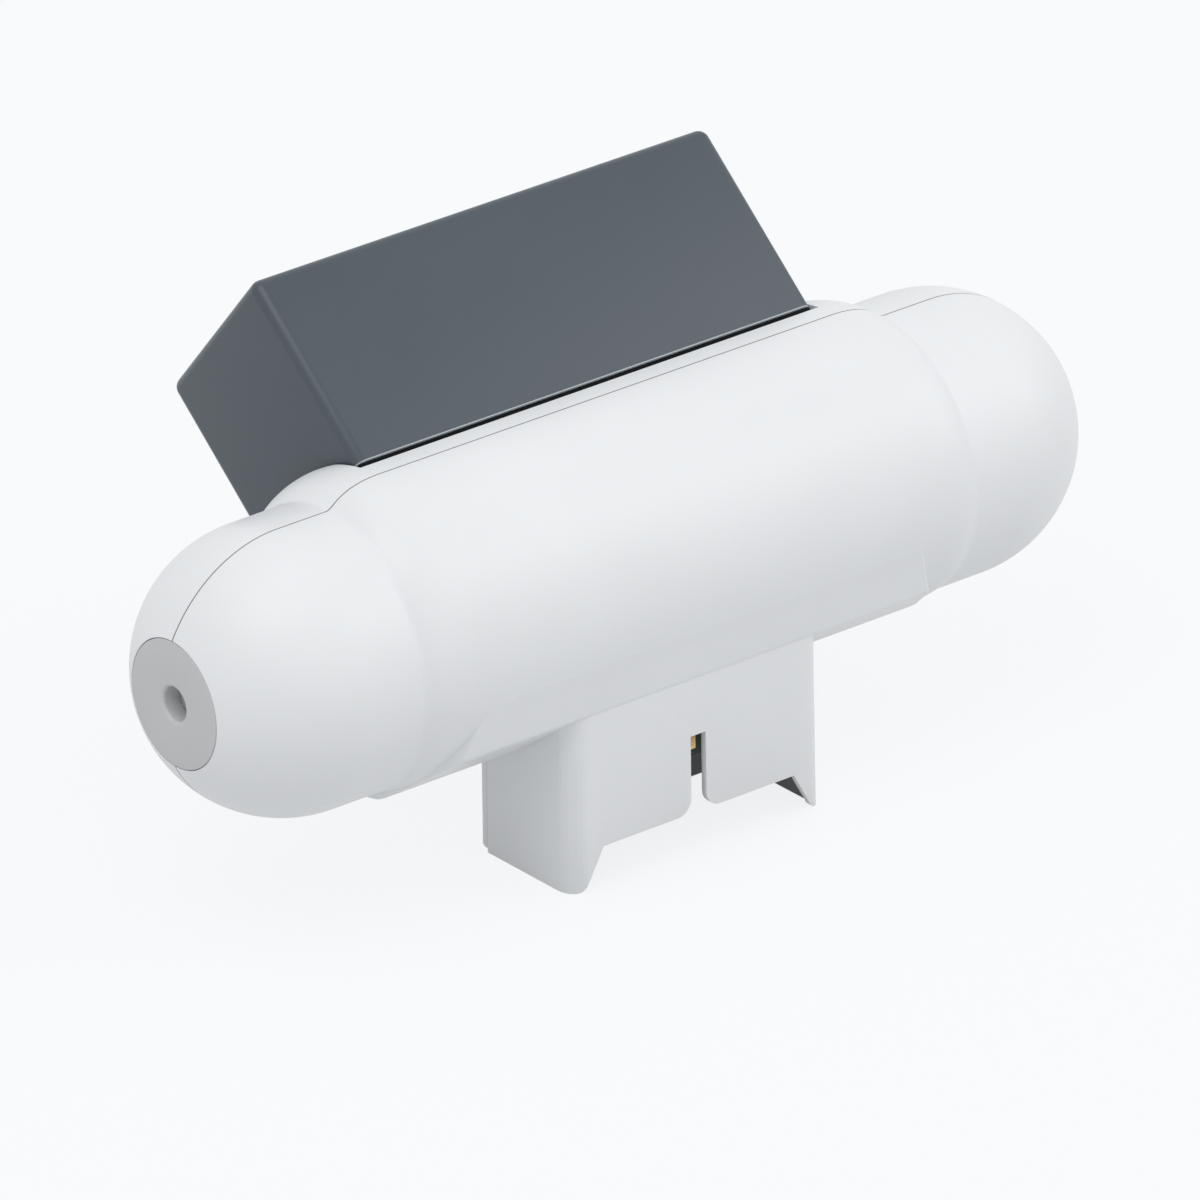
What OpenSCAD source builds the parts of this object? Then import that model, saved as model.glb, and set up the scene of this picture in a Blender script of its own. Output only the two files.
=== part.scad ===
// Carbon dioxide detector: a white capsule housing on a docking foot,
// with a plug-on sensor module under a dark box cover on its rear shoulder.
// Origin: middle of the foot's rim, on the seam plane. X runs along the capsule,
// -Y is the front, +Z is up. Millimetres.

/* [Capsule] */
// Radius of the capsule
capsule_r = 30; // [28:0.1:34]
// From the middle to the flat end faces
end_face_x = 110; // [106:0.5:120]
// Wall of the two shells
shell_wall = 2; // [1.6:0.1:2.6]
// Open joint between the front and the rear shell
seam_gap = 0.3; // [0.2:0.05:0.6]
// Height of the capsule axis over the foot's rim
axis_height = 57.4; // [55:0.1:62]

/* [End plugs] */
// Radius of the flush end plug
plug_r = 13.7; // [11:0.1:16]
// Thickness of the end plug
plug_t = 4; // [3:0.1:6]
// Ledge that the plug's rim sits on
plug_ledge = 1.6; // [1.2:0.1:2.4]
// Radius of the air port in each plug
port_r = 3.6; // [2:0.1:5]
// Width of the soft flare round the port
port_flare = 0.8; // [0.4:0.1:1.5]
// Thickness of the filter disc behind a plug
filter_t = 1.2; // [0.8:0.1:2]
// Ledge that the filter's rim sits on
filter_ledge = 1.8; // [1.2:0.1:2.4]

/* [Shoulder] */
// How far the thick middle section's own radius exceeds the capsule's
shoulder_proud = 3.2; // [2.6:0.1:4]
// Shift of the middle section to the rear
shoulder_y = 1.5; // [1:0.1:2]
// Rise of the middle section
shoulder_z = 1.9; // [1.5:0.1:2.3]
// Greatest reach of the middle section over the capsule
shoulder_crown = 4.8; // [4.4:0.1:5.2]
// Half length of the middle section at full height
shoulder_x = 57.6; // [54:0.1:60]
// Radius of the rounded ends of the middle section
shoulder_end_r = 20; // [16:0.5:24]

/* [Chin] */
// Reach of the chin's edge over the capsule
chin_proud = 3.2; // [2.4:0.1:3.6]
// Angle of the chin's edge below the front
chin_angle = 33.8; // [31:0.1:37]
// Reach of the rear end of the chin's underside over the capsule
chin_end_proud = 2; // [1:0.1:2.4]
// Angle of that rear end below the front
chin_end_angle = 67.8; // [64:0.1:70]
// Half length of the chin along its edge
chin_edge_x = 60; // [56:0.5:64]
// Half length of the chin along the rear end of its underside
chin_end_x = 69; // [65:0.5:72]

/* [Foot] */
// Half width of the foot at its rim
foot_rim_x = 32.6; // [30:0.1:36]
// Narrowing of each side of the foot up to the body
foot_draft = 0.2; // [0:0.1:2]
// Setback of the foot's front face from the chin's edge
foot_setback = 0.3; // [0:0.1:2]
// Wall of the foot
foot_wall = 1.5; // [1.2:0.1:2]
// Thickness of the back plate
back_plate_t = 1.6; // [1.2:0.1:2.4]
// Radius of the front vertical corners
foot_corner_r = 4.8; // [2.2:0.1:5.2]
// Rise of the front wall's lower edge over the rim
front_lift = 9.1; // [6:0.1:12]
// Width of the front wall left at each corner tip
tip_w = 3.1; // [2.4:0.1:4.4]
// Width of the sloped gusset above each tip
gusset_w = 5; // [3:0.1:7]
// Radius at each tip
tip_r = 3; // [0.8:0.1:3.2]
// Width of the keying slot
slot_w = 3.9; // [3:0.1:6]
// Height of the slot's top over the rim
slot_top = 26.2; // [22:0.1:28]
// Radius of the slot's lower corners
slot_mouth_r = 3.5; // [2:0.1:5]

/* [Module cover] */
// Length of the box cover
cover_l = 116.2; // [104:0.1:117]
// Depth of the box cover
cover_w = 43.6; // [40:0.1:45]
// Height of the box cover
cover_h = 44.8; // [36:0.1:50]
// Wall of the box cover
cover_wall = 1.8; // [1.4:0.1:2.4]
// Rounding of the cover's edges
cover_edge_r = 2.4; // [2:0.1:3.4]
// Lean of the module to the rear, from upright
lean = 49.6; // [44:0.2:55]
// Depth of the module's platform under the capsule's surface
platform_drop = 5.8; // [4.5:0.1:6.2]
// Thickness of the gasket under the cover
gasket_t = 1.9; // [0.6:0.1:2.2]
// Inset of the gasket from the cover's face
gasket_inset = 0.6; // [0.4:0.1:1]
// Gap between the cover and the shoulders beside it
pocket_gap = 0.5; // [0.4:0.1:1]

/* [Sensor module] */
// Floor of the module tray
tray_floor = 1.6; // [1.2:0.1:2.4]
// Rim wall of the tray
tray_wall = 1.4; // [1:0.1:2]
// Height of the tray's rim wall
tray_rim_h = 7; // [4:0.5:10]
// Height of the posts that carry the sensor board
post_h = 4; // [3.5:0.5:6]
// Gap between the ends of the sensor board and the tray
board_end_gap = 5.6; // [3:0.1:8]
// Gap between the sides of the sensor board and the tray
board_side_gap = 2.3; // [1:0.1:3]
// Length of the optical bench
bench_l = 66; // [56:1:72]
// Outer radius of the optical bench
bench_r = 9; // [7.5:0.1:10]
// Bore radius of the optical bench
bench_bore_r = 5; // [4:0.1:6]
// Length of the gas window in the bench
window_l = 34; // [24:1:40]
// Width of the gas window
window_w = 6; // [4:0.1:7]

/* [Main board] */
// Gap between the ends of the main board and the screw bosses
main_board_gap = 5.4; // [3:0.1:10]
// Top of the main board over the capsule axis
main_board_up = 20; // [17:0.5:21]
// Bottom of the main board below the capsule axis
main_board_down = 14; // [12:0.5:15]
// Plane of the main board's front face, ahead of the seam
main_board_y = 12.8; // [12:0.1:14]
// Board thickness
board_t = 1.6; // [1:0.1:2]
// Lower edge of the contact tongue over the rim
tongue_rim = 12.6; // [10:0.1:16]
// Width of the tongue beside the outer contacts
tongue_side = 3.6; // [1:0.1:4]
// Spacing of the edge contacts
pad_pitch = 2.54; // [2:0.01:2.54]
// Number of edge contacts
pad_count = 9; // [5:2:9]
// Width of a contact
pad_w = 1.3; // [0.8:0.1:1.6]
// Length of a contact
pad_l = 9; // [5:0.5:12]

/* [Fasteners] */
// Radius of the shell screws' shafts
screw_r = 1.25; // [1:0.05:1.5]
// Radius of the shell screws' heads
screw_head_r = 2.6; // [2.2:0.1:3]
// Height of the shell screws' heads
screw_head_h = 2.2; // [1.6:0.1:3]
// Wall of a boss round its counterbore
boss_wall = 0.6; // [0.6:0.1:1.2]
// Depth of the rear counterbores' seat behind the seam
seat_y = 6; // [5:0.5:9]
// How far a shell screw bites into the front boss
screw_bite = 6; // [4:0.5:8]
// Radius of the small board and tray screws
small_screw_r = 1; // [0.8:0.05:1.2]
// Length of their shafts
small_shaft_l = 6; // [5:0.5:7]

/* [Hidden] */

$fn = 96;
hull_fn = 32;
// Hair gap between faces that touch, running clearance, and sliding fit
eps = 0.01;
air = 0.15;
fit = 0.3;
// Longer than any span that a cut has to pass
far = 130;

// Capsule and its ends
dome_x = end_face_x - sqrt(capsule_r * capsule_r - plug_r * plug_r);
filter_x = end_face_x - plug_t - filter_t;
filter_r = plug_r - plug_ledge;
channel_r = filter_r - filter_ledge;
half_gap = seam_gap / 2;

// Middle section and chin, as points on the cross-section in the capsule's frame
shoulder_r = capsule_r + shoulder_proud;
shoulder_top = capsule_r + shoulder_crown;
shoulder_c = [shoulder_y, shoulder_z];
chin_edge = -(capsule_r + chin_proud) * [cos(chin_angle), sin(chin_angle)];
chin_end = -(capsule_r + chin_end_proud) * [cos(chin_end_angle), sin(chin_end_angle)];
chin_root = [chin_end[0] + 8, -capsule_r + 0.3];
// The chin's front face runs down from the middle section, a hair inside its tangent
chin_touch_r = shoulder_r - 0.05;
chin_dir = atan2(chin_edge[1] - shoulder_z, chin_edge[0] - shoulder_y);
chin_turn = acos(chin_touch_r / norm(chin_edge - shoulder_c));
chin_touch = shoulder_c + chin_touch_r * [cos(chin_dir - chin_turn), sin(chin_dir - chin_turn)];

// Underside of the chin: its length across, its slope, and how its ends slant
chin_span = norm(chin_end - chin_edge);
chin_slope = atan2(chin_end[1] - chin_edge[1], chin_end[0] - chin_edge[0]);
chin_slant = chin_end_x - chin_edge_x;

// Foot
foot_front_y = -chin_edge[0] - foot_setback;
foot_sink = 2;
foot_height = axis_height + chin_edge[1] - foot_sink;
rim_corner_r = 1.8;
lift_rim_x = foot_rim_x - tip_w;
lift_top_x = lift_rim_x - gusset_w;
slot_r = slot_w / 2;
tip_slope = atan2(front_lift, gusset_w);
tip_c = [lift_rim_x + tip_r * (1 - cos(tip_slope)) / sin(tip_slope), tip_r];
tip_touch = tip_c - tip_r * [sin(tip_slope), cos(tip_slope)];

// Fasteners
head_room = 0.4;
shaft_room = 0.35;
boss_r = screw_head_r + head_room + boss_wall;
small_head_r = small_screw_r + 0.9;
small_head_h = 1.3;
small_room = 0.2;
small_boss_r = small_screw_r + 2;
dome_screw_x = dome_x - 4.3;
dome_screw_z = 14;
chin_screw_x = 41;
chin_screw_z = -main_board_down - 1.9 - boss_r;
shell_spots = [for (s = [-1, 1])
    each [[s * dome_screw_x, dome_screw_z], [s * dome_screw_x, -dome_screw_z], [s * chin_screw_x, chin_screw_z]]];

// Sensor module, with heights from the capsule axis
platform_u = capsule_r - platform_drop;
lobe_rise = 6.8;
lobe_flare = 5;
cover_u = platform_u + gasket_t;
cover_in_l = cover_l - 2 * cover_wall;
cover_in_w = cover_w - 2 * cover_wall;
tray_l = cover_in_l - 2 * fit;
tray_w = cover_in_w - 2 * fit;
tray_in_l = tray_l - 2 * tray_wall;
tray_in_w = tray_w - 2 * tray_wall;
sensor_board_l = tray_in_l - 2 * board_end_gap;
sensor_board_w = tray_in_w - 2 * board_side_gap;
post_r = 2.6;
stake_r = 1.1;
stake_head_r = 1.9;
stake_head_h = 0.8;
tray_spots = [for (sx = [-1, 1], sv = [-1, 1])
    [sx * (tray_in_l / 2 - 3.6), sv * (tray_in_w / 2 - 4.8)]];
post_spots = [for (sx = [-1, 1], sv = [-1, 1])
    [sx * (sensor_board_l / 2 - 5), sv * (sensor_board_w / 2 - 3)]];
tray_boss_h = 8;
board_u = platform_u + tray_floor + post_h + air;
bench_foot_h = 2;
bench_u = board_u + board_t + bench_r + bench_foot_h;
window_block_w = window_w + 6;
window_block_l = window_l + 6;
window_lip = 1;
lamp_flange_t = 1.5;
lamp_reach = 6;
clamp_t = 1.4;
clamp_w = 5;
clamp_x = bench_l / 2 - 7;
clamp_foot = 4;

// Main board
main_back_y = -main_board_y + board_t;
main_board_x = dome_screw_x - boss_r - main_board_gap;
tongue_z = tongue_rim - axis_height;
tongue_x = pad_count * pad_pitch / 2 + tongue_side;
tongue_room = 1;
pad_t = 0.12;
pad_up = 1.7;
board_spots = [for (s = [-1, 1])
    each [[s * (main_board_x - 8), main_board_up - 6], [s * (main_board_x - 8), -main_board_down + 6]]];

// Parts soldered to the boards, as length, height off the board and width, and their places from its edges
chip = [5.4, 5, 1.3];
chip_end_gap = 1.6;
chip_middle_gap = 2;
shield = [22, 3, 18];
shield_sheet = 0.3;
shield_place = [20, 8];
capacitor_r = 4;
capacitor_h = 9;
capacitor_place = [18, 12];
capacitor_pitch = 12;
regulator = [9, 2.4, 7];
regulator_place = [22, 3];
controller = [12, 1.5, 12];
controller_lift = 5;
climate_can = [3, 1.2, 3];
climate_place = [1, 16];

// Ribbon between the boards and the holes that it passes
ribbon_w = 8;
ribbon_t = 0.4;
ribbon_v = -3;
ribbon_bend = 9;
socket_w = 12;
main_socket = [3, 5];
sensor_socket = [6, 2.6];
socket_z = 6;
link_y = main_back_y + main_socket[0];
link_z = socket_z + main_socket[1] / 2 + ribbon_t;
ribbon_hole = [14, 10];
function lean_point(v, u) = [v * cos(lean) + u * sin(lean), -v * sin(lean) + u * cos(lean)];
ribbon_top = lean_point(ribbon_v, board_u - sensor_socket[1] - 0.4);
ribbon_mid = lean_point(ribbon_v, platform_u - ribbon_bend) - [1, 2];

// The capsule axis is the working frame of every piece
module on_axis() translate([0, 0, axis_height]) children();

// The module's frame: X along, Y across, Z out of the platform
module on_lean() on_axis() rotate([-lean, 0, 0]) children();

// Lays a revolved profile, or an upright solid, along X
module along_x() rotate([0, 90, 0]) children();

// Draws a piece of the right end, or its mirror image at the left end
module at_end(side, x) on_axis()
    mirror([side < 0 ? 1 : 0, 0, 0]) translate([x, 0, 0]) along_x() children();

// Half of a capsule's section, cut flat at its tips
module capsule_profile(r, half, tip)
    intersection() {
        translate([0, -tip]) square([r + 1, 2 * tip]);
        union() {
            translate([0, -half]) square([r, 2 * half]);
            for (s = [-1, 1])
                translate([0, s * half])
                    intersection() {
                        circle(r);
                        translate([0, -r]) square([r, 2 * r]);
                    }
        }
    }

module capsule(r, tip) along_x() rotate_extrude() capsule_profile(r, dome_x, tip);

// Turned envelope that rounds both ends of the middle section
module shoulder_envelope(inset)
    along_x() rotate_extrude() {
        translate([0, -shoulder_x]) square([shoulder_top - inset, 2 * shoulder_x]);
        for (s = [-1, 1])
            translate([shoulder_top - shoulder_end_r, s * shoulder_x])
                intersection() {
                    circle(shoulder_end_r - inset);
                    translate([0, s > 0 ? 0 : -shoulder_end_r])
                        square([shoulder_end_r, shoulder_end_r]);
                }
        translate([0, -shoulder_x - shoulder_end_r + inset])
            square([shoulder_top - shoulder_end_r + eps, 2 * (shoulder_x + shoulder_end_r - inset)]);
    }

// Thick middle section: an off-centre cylinder inside the turned envelope
module shoulder(inset)
    intersection() {
        shoulder_envelope(inset);
        translate([0, shoulder_y, shoulder_z])
            along_x() cylinder(r = shoulder_r - inset, h = 2 * end_face_x, center = true);
    }

// Wedge under the middle section, with ends that slant out to the rear
module chin()
    intersection() {
        along_x() rotate([0, 0, 90]) linear_extrude(2 * end_face_x, center = true)
            polygon([chin_touch, chin_edge, chin_end, chin_root, [chin_root[0], 0]]);
        translate([0, chin_edge[0], chin_edge[1]]) rotate([chin_slope, 0, 0])
            linear_extrude(far, center = true)
                polygon([[chin_slant - chin_edge_x, -chin_span], [chin_edge_x - chin_slant, -chin_span],
                    [chin_end_x + chin_slant, 2 * chin_span], [-chin_end_x - chin_slant, 2 * chin_span]]);
    }

module body_outside() {
    capsule(capsule_r, end_face_x);
    shoulder(0);
}

// Keeps bosses and posts inside the wall that carries them
module within_wall() {
    capsule(capsule_r - shell_wall / 2, end_face_x - plug_t);
    shoulder(shell_wall / 2);
}

module body_inside() {
    capsule(capsule_r - shell_wall, filter_x - shell_wall);
    shoulder(shell_wall);
}

// Room for an end plug, its filter and the air channel behind them
module plug_seat(side) at_end(side, filter_x) {
    translate([0, 0, filter_t]) cylinder(r = plug_r, h = plug_t + 1);
    translate([0, 0, -air]) cylinder(r = filter_r, h = plug_t);
    translate([0, 0, -3 * shell_wall]) cylinder(r = channel_r, h = 3 * shell_wall + plug_t);
}

// Foot block between two heights over the rim, shrunk by an inset
module foot_block(inset, back_y, z0, z1)
    hull()
        for (z = [z0, z1]) {
            x = foot_rim_x - foot_draft * z / foot_height - inset;
            r = foot_corner_r - inset;
            for (s = [-1, 1]) {
                translate([s * (x - r), -foot_front_y + foot_corner_r, z])
                    cylinder(r = r, h = eps, $fn = hull_fn);
                translate([s * (x - eps) - eps, back_y - 2 * eps, z]) cube([2 * eps, 2 * eps, eps]);
            }
        }

function flip(p) = [-p[0], p[1]];

// Cut under the raised front edge, with its tips and the keying slot
module front_cut()
    translate([0, -foot_front_y + 3 * foot_wall, 0]) rotate([90, 0, 0]) linear_extrude(6 * foot_wall) {
        difference() {
            polygon([flip(tip_c) - [0, far], tip_c - [0, far], tip_c, tip_touch, [lift_top_x, front_lift],
                [-lift_top_x, front_lift], flip(tip_touch), flip(tip_c)]);
            for (c = [tip_c, flip(tip_c)]) translate(c) circle(tip_r);
        }
        translate([-slot_r, -1]) square([slot_w, slot_top + 1]);
        for (s = [-1, 1])
            difference() {
                translate([s * (slot_r + slot_mouth_r / 2), front_lift + slot_mouth_r / 2 - eps])
                    square(slot_mouth_r + 2 * eps, center = true);
                translate([s * (slot_r + slot_mouth_r), front_lift + slot_mouth_r])
                    circle(slot_mouth_r);
            }
    }

module foot()
    difference() {
        foot_block(0, -half_gap, 0, foot_height + 6);
        foot_block(foot_wall, 2, -1, foot_height + 7);
        front_cut();
    }

// Upright cylinder turned to point forwards, from a plane ahead of the seam
module forward_rod(spot, y, r, l)
    translate([spot[0], -y, spot[1]]) rotate([90, 0, 0]) cylinder(r = r, h = l);

// The same, pointing to the rear from a plane behind the seam
module rearward_rod(spot, y, r, l)
    translate([spot[0], y, spot[1]]) rotate([-90, 0, 0]) cylinder(r = r, h = l);

module front_shell() color("white") difference() {
    union() {
        difference() {
            union() {
                on_axis() body_outside();
                on_axis() chin();
                foot();
            }
            on_axis() body_inside();
        }
        on_axis() intersection() {
            within_wall();
            union() {
                for (p = shell_spots) forward_rod(p, half_gap, boss_r, far);
                for (p = board_spots) forward_rod(p, main_board_y + air, small_boss_r, far);
            }
        }
    }
    on_axis() translate([-far, -half_gap, -far]) cube(2 * far);
    for (s = [-1, 1]) plug_seat(s);
    on_axis() for (p = shell_spots) forward_rod(p, 0, screw_r, screw_bite + 2);
    on_axis() for (p = board_spots) forward_rod(p, main_board_y - 1, small_screw_r, small_shaft_l + 1);
    // Passage of the contact tongue through the underside
    on_axis() translate([-tongue_x - tongue_room, -main_board_y - tongue_room, tongue_z])
        cube([2 * (tongue_x + tongue_room), board_t + 2 * tongue_room, -tongue_z - main_board_down - 3]);
}

// Platform for the module, open between the two shoulder lobes
module pocket() {
    half_l = cover_l / 2 + pocket_gap;
    rotate([-lean, 0, 0]) rotate([90, 0, 0]) linear_extrude(far, center = true)
        polygon([[-half_l, platform_u], [half_l, platform_u],
            [half_l, platform_u + lobe_rise], [half_l + lobe_flare, platform_u + lobe_rise + lobe_flare],
            [-half_l - lobe_flare, platform_u + lobe_rise + lobe_flare], [-half_l, platform_u + lobe_rise]]);
}

// Back plate that closes the foot behind the seam, up to the capsule's underside
module back_plate() {
    x0 = foot_rim_x;
    x1 = foot_rim_x - foot_draft;
    top = axis_height - capsule_r + 6;
    difference() {
        translate([0, half_gap + back_plate_t, 0]) rotate([90, 0, 0]) linear_extrude(back_plate_t) {
            polygon([[-x0 + rim_corner_r, 0], [x0 - rim_corner_r, 0], [x0, rim_corner_r],
                [x1, foot_height], [x1, top], [-x1, top], [-x1, foot_height], [-x0, rim_corner_r]]);
            for (s = [-1, 1]) translate([s * (x0 - rim_corner_r), rim_corner_r]) circle(rim_corner_r);
        }
        on_axis() along_x() cylinder(r = capsule_r - shell_wall / 2, h = far, center = true);
    }
}

module rear_shell() color("white") difference() {
    union() {
        on_axis() difference() {
            body_outside();
            difference() {
                body_inside();
                rotate([-lean, 0, 0]) translate([-far, -far, platform_u - shell_wall]) cube(2 * far);
            }
        }
        back_plate();
        on_axis() intersection() {
            within_wall();
            for (p = shell_spots) rearward_rod(p, half_gap, boss_r, far);
        }
        on_lean() for (p = tray_spots)
            translate([p[0], p[1], platform_u - tray_boss_h]) cylinder(r = small_boss_r, h = tray_boss_h - eps);
    }
    on_axis() translate([-far, half_gap - 2 * far, -far]) cube(2 * far);
    on_axis() pocket();
    for (s = [-1, 1]) plug_seat(s);
    on_axis() for (p = shell_spots) {
        rearward_rod(p, 0, screw_r + shaft_room, seat_y + 1);
        rearward_rod(p, seat_y, screw_head_r + head_room, far);
    }
    on_lean() for (p = tray_spots)
        translate([p[0], p[1], platform_u - tray_boss_h + 1]) cylinder(r = small_screw_r, h = tray_boss_h);
    on_lean() translate([-ribbon_hole[0] / 2 - 1, ribbon_v - ribbon_hole[1] / 2 - 1, platform_u - 12])
        cube([ribbon_hole[0] + 2, ribbon_hole[1] + 2, 14]);
}

module end_plug(side) color("lightgray") at_end(side, end_face_x)
    difference() {
        translate([0, 0, -plug_t]) cylinder(r = plug_r - air, h = plug_t);
        translate([0, 0, -plug_t - 1]) cylinder(r = port_r, h = plug_t + 2);
        translate([0, 0, -port_flare])
            cylinder(r1 = port_r - eps, r2 = port_r + port_flare, h = port_flare + eps);
    }

module end_filter(side) color("whitesmoke") at_end(side, filter_x - air / 2)
    cylinder(r = filter_r - air, h = filter_t);

module left_end_plug() end_plug(-1);
module right_end_plug() end_plug(1);
module left_filter() end_filter(-1);
module right_filter() end_filter(1);

// Box with rounded sides and top, sharp at its open foot
module rounded_box(l, w, h, r)
    hull()
        for (sx = [-1, 1], sy = [-1, 1]) {
            translate([sx * (l / 2 - r), sy * (w / 2 - r), h - r]) sphere(r, $fn = hull_fn);
            translate([sx * (l / 2 - r), sy * (w / 2 - r), 0]) cylinder(r = r, h = eps, $fn = hull_fn);
        }

module module_cover() color("dimgray") on_lean() translate([0, 0, cover_u])
    difference() {
        rounded_box(cover_l, cover_w, cover_h, cover_edge_r);
        translate([0, 0, -1])
            rounded_box(cover_in_l, cover_in_w, cover_h - cover_wall + 1, max(cover_edge_r - cover_wall, 0) + 0.4);
    }

module cover_gasket() color("black") on_lean() translate([0, 0, platform_u + gasket_t / 2])
    difference() {
        cube([cover_l - 2 * gasket_inset, cover_w - 2 * gasket_inset, gasket_t - 2 * eps], center = true);
        cube([tray_l + fit, tray_w + fit, gasket_t + 1], center = true);
    }

// Tray with heat-staked pins that hold the sensor board on its posts
module module_tray() color("gainsboro") on_lean() translate([0, 0, platform_u]) {
    difference() {
        translate([-tray_l / 2, -tray_w / 2, eps]) cube([tray_l, tray_w, tray_rim_h]);
        translate([-tray_in_l / 2, -tray_in_w / 2, tray_floor]) cube([tray_in_l, tray_in_w, tray_rim_h]);
        for (p = tray_spots)
            translate([p[0], p[1], -1]) cylinder(r = small_screw_r + small_room, h = tray_floor + 2);
        translate([-ribbon_hole[0] / 2, ribbon_v - ribbon_hole[1] / 2, -1])
            cube([ribbon_hole[0], ribbon_hole[1], tray_floor + 2]);
    }
    for (p = post_spots) translate([p[0], p[1], tray_floor - eps]) {
        cylinder(r = post_r, h = post_h + eps);
        cylinder(r = stake_r, h = post_h + board_t + 3 * air);
        translate([0, 0, post_h + board_t + 2 * air]) cylinder(r = stake_head_r, h = stake_head_h);
    }
}

module sensor_board() color("darkgreen") on_lean() translate([0, 0, board_u])
    difference() {
        translate([-sensor_board_l / 2, -sensor_board_w / 2, 0]) cube([sensor_board_l, sensor_board_w, board_t]);
        for (p = tray_spots) translate([p[0], p[1], -1]) cylinder(r = small_boss_r, h = board_t + 2);
        for (p = post_spots) translate([p[0], p[1], -1]) cylinder(r = stake_r + air, h = board_t + 2);
    }

// Tube with a gas window on top, closed by the lamp and the detector
module optical_bench() color("gold") on_lean() translate([0, 0, bench_u])
    difference() {
        union() {
            along_x() cylinder(r = bench_r, h = bench_l, center = true);
            for (s = [-1, 1]) translate([s * (clamp_x - 11), 0, 0])
                translate([-3, -5, -bench_r - bench_foot_h + eps]) cube([6, 10, 6]);
            translate([-window_block_l / 2, -window_block_w / 2, 0])
                cube([window_block_l, window_block_w, bench_r + window_lip]);
        }
        along_x() cylinder(r = bench_bore_r, h = bench_l + 2, center = true);
        translate([-window_l / 2, -window_w / 2, 0]) cube([window_l, window_w, bench_r + window_lip + 1]);
    }

module bench_membrane() color("white") on_lean()
    translate([0, 0, bench_u + bench_r + window_lip + eps + 0.25])
        cube([window_block_l - 2, window_block_w - 1.6, 0.5], center = true);

// Round can with a flange, pushed into one end of the bench
module bench_end(side) on_lean() translate([0, 0, bench_u]) mirror([side < 0 ? 1 : 0, 0, 0])
    translate([bench_l / 2, 0, 0]) along_x() {
        translate([0, 0, -lamp_reach]) cylinder(r = bench_bore_r - 0.2, h = lamp_reach + 0.5);
        translate([0, 0, eps]) cylinder(r = bench_bore_r + 1, h = lamp_flange_t);
    }

module infrared_lamp() color("silver") bench_end(-1);
module detector_can() color("silver") bench_end(1);

// Two saddles that hold the optical bench down on the sensor board
module bench_clamps() color("slategray") on_lean() for (s = [-1, 1])
    translate([s * clamp_x, 0, bench_u])
        difference() {
            union() {
                along_x() cylinder(r = bench_r + clamp_t, h = clamp_w, center = true);
                translate([-clamp_w / 2, -bench_r - clamp_foot, -bench_r - bench_foot_h + eps])
                    cube([clamp_w, 2 * (bench_r + clamp_foot), 2]);
                translate([-clamp_w / 2, -bench_r - clamp_t, -bench_r - bench_foot_h + eps])
                    cube([clamp_w, 2 * (bench_r + clamp_t), bench_r]);
            }
            along_x() cylinder(r = bench_r + eps, h = clamp_w + 1, center = true);
            translate([-clamp_w, -6, -bench_r - bench_foot_h - 1]) cube([2 * clamp_w, 12, 8]);
        }

// Three small chips beyond the ends of the bench
module signal_chips() color("black") on_lean() {
    x = sensor_board_l / 2 - chip_end_gap - chip[0];
    for (p = [[-x - chip[0], chip_middle_gap], [x, chip_middle_gap], [x, -chip_middle_gap - chip[1]]])
        translate([p[0], p[1], board_u + board_t + eps]) cube(chip);
}

module main_board() color("darkgreen") on_axis() translate([0, main_back_y, 0]) rotate([90, 0, 0])
    difference() {
        union() {
            translate([-main_board_x, -main_board_down, 0])
                cube([2 * main_board_x, main_board_up + main_board_down, board_t]);
            translate([-tongue_x, tongue_z, 0]) cube([2 * tongue_x, -tongue_z, board_t]);
        }
        for (p = board_spots)
            translate([p[0], p[1], -1]) cylinder(r = small_screw_r + small_room, h = board_t + 2);
    }

// Gold contacts on the front of the tongue, seen through the slot
module edge_contacts() color("goldenrod") on_axis()
    for (i = [0 : pad_count - 1])
        translate([(i - (pad_count - 1) / 2) * pad_pitch - pad_w / 2, -main_board_y - pad_t, tongue_z + pad_up])
            cube([pad_w, pad_t - eps, pad_l]);

// A part soldered to the rear of the main board, from its lower left corner
module on_board_back(x, z) on_axis() translate([x, main_back_y + eps, z]) children();

module microcontroller() color("black")
    on_board_back(-controller[0] / 2, controller_lift - main_board_down) cube(controller);

// Sheet metal lid, open towards the board
module radio_shield() color("silver")
    on_board_back(main_board_x - shield_place[0] - shield[0], shield_place[1] - main_board_down)
        difference() {
            cube(shield);
            translate([shield_sheet, -1, shield_sheet])
                cube([shield[0] - 2 * shield_sheet, shield[1] - shield_sheet + 1, shield[2] - 2 * shield_sheet]);
        }

module capacitors() color("navy")
    for (x = [0, capacitor_pitch])
        on_board_back(capacitor_place[0] + x - main_board_x, main_board_up - capacitor_place[1])
            rotate([-90, 0, 0]) cylinder(r = capacitor_r, h = capacitor_h);

module voltage_regulator() color("black")
    on_board_back(regulator_place[0] - main_board_x, regulator_place[1] - main_board_down) cube(regulator);

module climate_sensor() color("gray")
    on_board_back(climate_place[0] - main_board_x, climate_place[1] - main_board_down) cube(climate_can);

// Flat cable from the main board up to the sensor board
module link_ribbon() color("lightsteelblue") on_axis()
    rotate([90, 0, 90]) linear_extrude(ribbon_w, center = true)
        polygon([[link_y + eps, link_z], ribbon_mid, ribbon_top, ribbon_top + [ribbon_t, -ribbon_t],
            ribbon_mid + [ribbon_t, -ribbon_t], [link_y + eps, link_z - 2 * ribbon_t]]);

module link_sockets() color("ivory") {
    on_board_back(-socket_w / 2, socket_z) cube([socket_w, main_socket[0] - eps, main_socket[1]]);
    on_lean() translate([-socket_w / 2, ribbon_v - sensor_socket[0] / 2, board_u - sensor_socket[1]])
        cube([socket_w, sensor_socket[0], sensor_socket[1] - eps]);
}

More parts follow.
